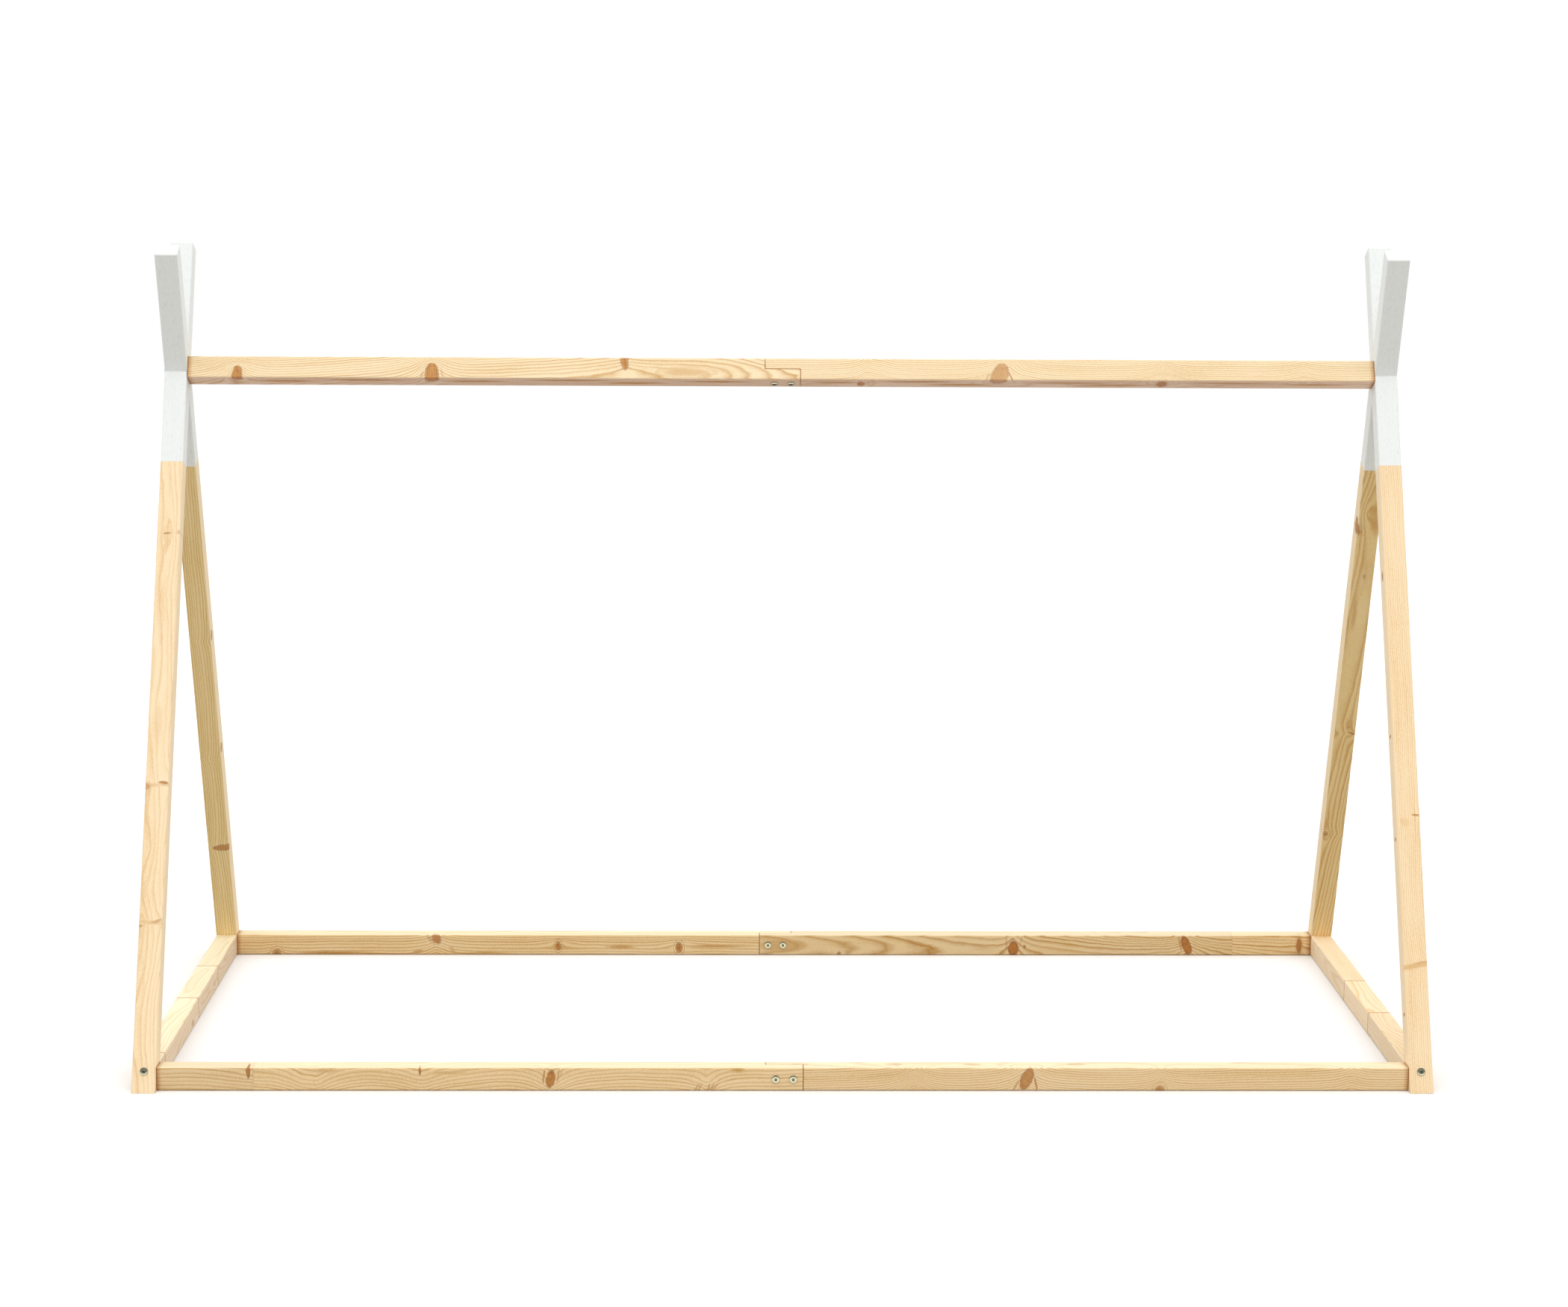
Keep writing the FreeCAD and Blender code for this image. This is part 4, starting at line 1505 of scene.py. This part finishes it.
def right_end() -> EndFrame:
    """The right end, with its wood as photographed."""
    front = (
        band(787, 10, 0.22, 0.15),
        Knot(787, 4, hump=4, reach=9, stretch=1.4),
        Knot(458, 13, 3.6, 13, part=5, reach=12, strength=0.8, tan=0.9),
        Knot(446, -6, 14, 20, hump=4, reach=8, stretch=1.4, strength=0.0, tan=0.5, tilt=-0.3),
        band(212, 12, 1.0, 0.2, 60),
        Knot(213, 8, 3, 18, strength=0.3, tan=0.9, tilt=0.2),
        Knot(872, 0, 18, 12, Face.LOWER, depth=8),
        *(Knot(s, 0, 7, 13, Face.LOWER, depth=8) for s in (595, 421, 131)),
    )
    rear = (
        Knot(968, -4, hump=12, reach=20, stretch=2.4),
        Knot(932, -17, 10, 12, part=4, reach=12, strength=0.3, tan=0.8, loops=0.7),
        Knot(940, 8, 34, 22, Face.LOWER, depth=8),
        Knot(842, 2, 8, 3, part=2, strength=0.8),
        streak(770, -8, 90, 11, 0.55),
        Knot(512, 13, 4, 18, part=5, reach=14, strength=0.5, tan=0.9, tilt=-0.4),
        Knot(526, 6, 3, 12, part=3, reach=10, strength=0.1, tan=0.8, tilt=0.6),
        swell(512, 6, 9, stretch=1.3),
        Knot(291, -15, 8, 8, part=5, reach=12, strength=0.6, tan=0.9, loops=0.8),
        swell(291, 7, 8, stretch=1.2),
    )
    front_figure = Figure((-92, -26), ring_width=2.9, wander=18, seed=11.0, boldness=0.75)
    rear_figure = Figure((-70, -24), (0.095, 0.0), ring_width=5.0, wander=8, seed=13.0)
    rail_figure = Figure((32, -24), (-0.04, 0.0), ring_width=4.2, wander=26, seed=17.0)
    legs = {
        Row.FRONT: Wood(LEG_PINE, front_figure, front, paint_line=FRONT_PAINT_LINE_MM),
        Row.REAR: Wood(SHADED_REAR_RIGHT_PINE, rear_figure, rear, paint_line=REAR_PAINT_LINE_MM),
    }
    return EndFrame(Side.RIGHT, legs, Wood(RIGHT_END_PINE, rail_figure, joints=(362.0, 592.0)))


def ridge() -> LongTimber:
    """The ridge, turned to lie along the front legs' faces."""
    left = (
        Knot(-921, 16, 19, 19, Face.LOWER, hump=24, reach=12, depth=22),
        Knot(-593, 15, 25, 25, Face.LOWER, hump=27, reach=12, depth=28),
        stroke(-610, -13, 11, 0.5, 0.6),
        stroke(-576, -9, 18, -0.2, 0.35),
        Knot(-269, 16, 14, 14, Face.UPPER, lean=(-0.15, 0.0), hump=5, reach=9, depth=25),
        Knot(70, 45, hump=-75, reach=38),
        Knot(-163, -7, 86, 16, depth=6, strength=0, tan=0.5, loops=0.3),
        *(under_streak(*row) for row in (
            (-840, 2, 110), (-700, 8, 150), (-520, 4, 120), (-360, 10, 160), (-250, -2, 120), (-110, 6, 130)
        )),
    )
    right = (
        swell(144, 17, 7),
        swell(168, 8, 4),
        Knot(133, -2, 14, 20, Face.LOWER, depth=9),
        Knot(150, 2, 8, 16, Face.LOWER, depth=9, strength=0.0, loops=1.0),
        Knot(365, 16, 29, 29, Face.LOWER, (-0.36, 0.0), hump=26, reach=12, depth=32, strength=0.75),
        stroke(347, -13, 14, 0.5, 0.5),
        stroke(386, -12, 16, -0.4, 0.8),
        *(under_streak(*row) for row in (
            (90, 4, 90), (230, 10, 140), (300, -4, 120), (480, 6, 160), (560, -4, 150), (760, 8, 160),
            (900, 2, 120),
        )),
        Knot(644, 2, 17, 26, Face.LOWER, depth=5, loops=1.0),
        swell(644, 18, 9, 8),
        swell(650, 10, 8),
        swell(883, 10, 9),
    )
    place = StickFrame(Vector((0.0, 0.0, RIDGE_HEIGHT)), X_AXIS, FRONT_LEG_RUN, FRONT_LEG_OUT)
    left_figure = Figure((1.3, -25), (0.081, 0.0), ring_width=3.4, wander=8, seed=19.0)
    right_figure = Figure((-80, -10), ring_width=3.4, wander=7, seed=23.0, boldness=0.85)
    return LongTimber("ridge", place, Face.UPPER, {
        Side.LEFT: Wood(RIDGE_PINE, left_figure, left),
        Side.RIGHT: Wood(RIDGE_PINE, right_figure, right),
    })


def front_rail() -> LongTimber:
    """The front floor rail."""
    left = (
        Knot(-858, 11.5, 7, 20, part=5, hump=2, reach=8),
        swell(-772, 13, 20),
        swell(-748, 13, 13),
        Knot(-584, 13, 4.5, 12, tan=1.2),
        swell(-590, 10, 24),
        swell(-576, 7, 9),
        Knot(-375, 0, 15, 29, part=4, tilt=0.15, loops=0.4),
        swell(-373, 24, 12),
        stroke(-386, 5, 23, 0.1, 0.8),
        stroke(-363, 6, 22, 0.15, 0.5),
        stroke(-358, 10, 14, 0.3, 0.35),
        Knot(-124, 17, 24, 24, Face.LOWER, hump=14, reach=12, depth=16, strength=0.0),
        *(stroke(x, -14, 13, tilt, 0.55)
          for x, tilt in ((-141, 0.6), (-136, 0.5), (-121, 0.1), (-116, 0.4), (-112, 0.7))),
        swell(-124, 6, 14),
        streak(-75, 15, 26, 9, 1.0),
        streak(-735, 14, 60, 9, 0.7),
        streak(-540, 10, 70, 7, 0.7),
    )
    right = (
        swell(209, 16, 8, 8),
        swell(207, 18, 8),
        Knot(389, 0.5, 21, 36, part=4, tilt=0.3, strength=0.9),
        swell(388, 22, 12),
        stroke(372, -10, 20, 0.5, 0.6),
        stroke(404, -8, 24, -0.2, 0.85),
        Knot(604, -18.5, 13, 15, hump=16, reach=12, stretch=1.1, strength=0.75, tan=0.8, loops=0.7),
        swell(606, 9, 9, stretch=1.2),
        swell(913, 10, 8),
        *(Knot(x, -2, 30, 14, Face.UPPER, strength=0.4, depth=5)
          for x in (25, 176, 303, 470)),
    )
    place = StickFrame(Vector((0.0, HALF - RAIL_OUTER_Y, HALF)), X_AXIS, Z_AXIS, -Y_AXIS)
    left_figure = Figure((66, -34), (0.01, 0.0), ring_width=4.8, wander=22, seed=29.0, boldness=0.85)
    right_figure = Figure((-70, -14), (0.015, 0.0), ring_width=3.4, wander=9, seed=31.0)
    return LongTimber("front_rail", place, Face.BACK, {
        Side.LEFT: Wood(FRONT_RAIL_PINE, left_figure, left, joints=(-850.0,)),
        Side.RIGHT: Wood(FRONT_RAIL_PINE, right_figure, right),
    })


def rear_rail() -> LongTimber:
    """The rear floor rail, seen on its inner face."""
    left = (
        Knot(-931, -17, 14, 15, hump=14, reach=11, stretch=1.1, strength=0.5, tan=0.9, loops=0.8),
        streak(-832, -15, 150, 8, 1.0),
        streak(-540, -15, 90, 6, 0.8),
        Knot(-633, 11, 17, 18, depth=12, strength=0.8, tan=0.6, tilt=-0.3),
        stroke(-647, 11, 13, -0.6, 0.5),
        stroke(-641, 7, 14, -0.6, 0.45),
        swell(-634, 15, 9),
        Knot(-668, -13, 22, 10, strength=0, tan=0.7, tilt=0.6),
        Knot(-604, -9, 10, 18, strength=0, tan=0.45, tilt=-0.6),
        Knot(-406, -2, 8, 14, hump=7, part=9, reach=9, loops=1.0),
        streak(-290, -4, 60, 10, 0.8),
        Knot(-180, -5, 11, 15, hump=7, part=9, reach=9, loops=1.0),
        streak(-110, -2, 130, 7, 0.9),
    )
    right = (
        Knot(720, 0, 60, 60, part=30, reach=110, strength=0),
        streak(15, -1, 96, 26, 0.4),
        Knot(119, -16, 8, 8, hump=5.2, part=1.2, strength=0.8),
        Knot(446, -6, 20, 28, part=3),
        Knot(467, -3, 7, 8, strength=0.3, tan=1.0),
        stroke(433, 4, 26, -0.1, 0.4),
        stroke(460, 6, 22, 0.15, 0.35),
        swell(446, 11, 10, stretch=1.6),
        Knot(771, 0, 18, 36, part=3, tilt=-0.3),
        swell(771, 16, 10),
        stroke(759, 4, 28, -0.2, 0.6),
        Knot(983, 0, 10, 26, hump=4, part=5, reach=10, loops=0.8),
    )
    place = StickFrame(Vector((0.0, RAIL_OUTER_Y - HALF, HALF)), X_AXIS, Z_AXIS, -Y_AXIS)
    left_figure = Figure((-64, -20), ring_width=4.6, wander=10, seed=37.0)
    right_figure = Figure((1, -24), (0.0, -0.05), ring_width=4.4, wander=5, seed=41.0, boldness=1.1)
    return LongTimber("rear_rail", place, Face.FRONT, {
        Side.LEFT: Wood(REAR_RAIL_PINE, left_figure, left),
        Side.RIGHT: Wood(REAR_RAIL_PINE, right_figure, right, joints=(857.0,)),
    })


def main() -> None:
    """Dresses the timber, builds the screws and sets up the studio."""
    logging.basicConfig(level=logging.INFO, format="%(name)s: %(message)s")
    groups = PineGroups()
    nickel = ScrewMetal()
    for end in (left_end(), right_end()):
        end.dress(groups)
        end.build_screws(nickel)
    for timber in (ridge(), front_rail(), rear_rail()):
        timber.dress(groups)
    LapScrews().build(nickel)
    Studio().build()


if __name__ == "__main__":
    main()
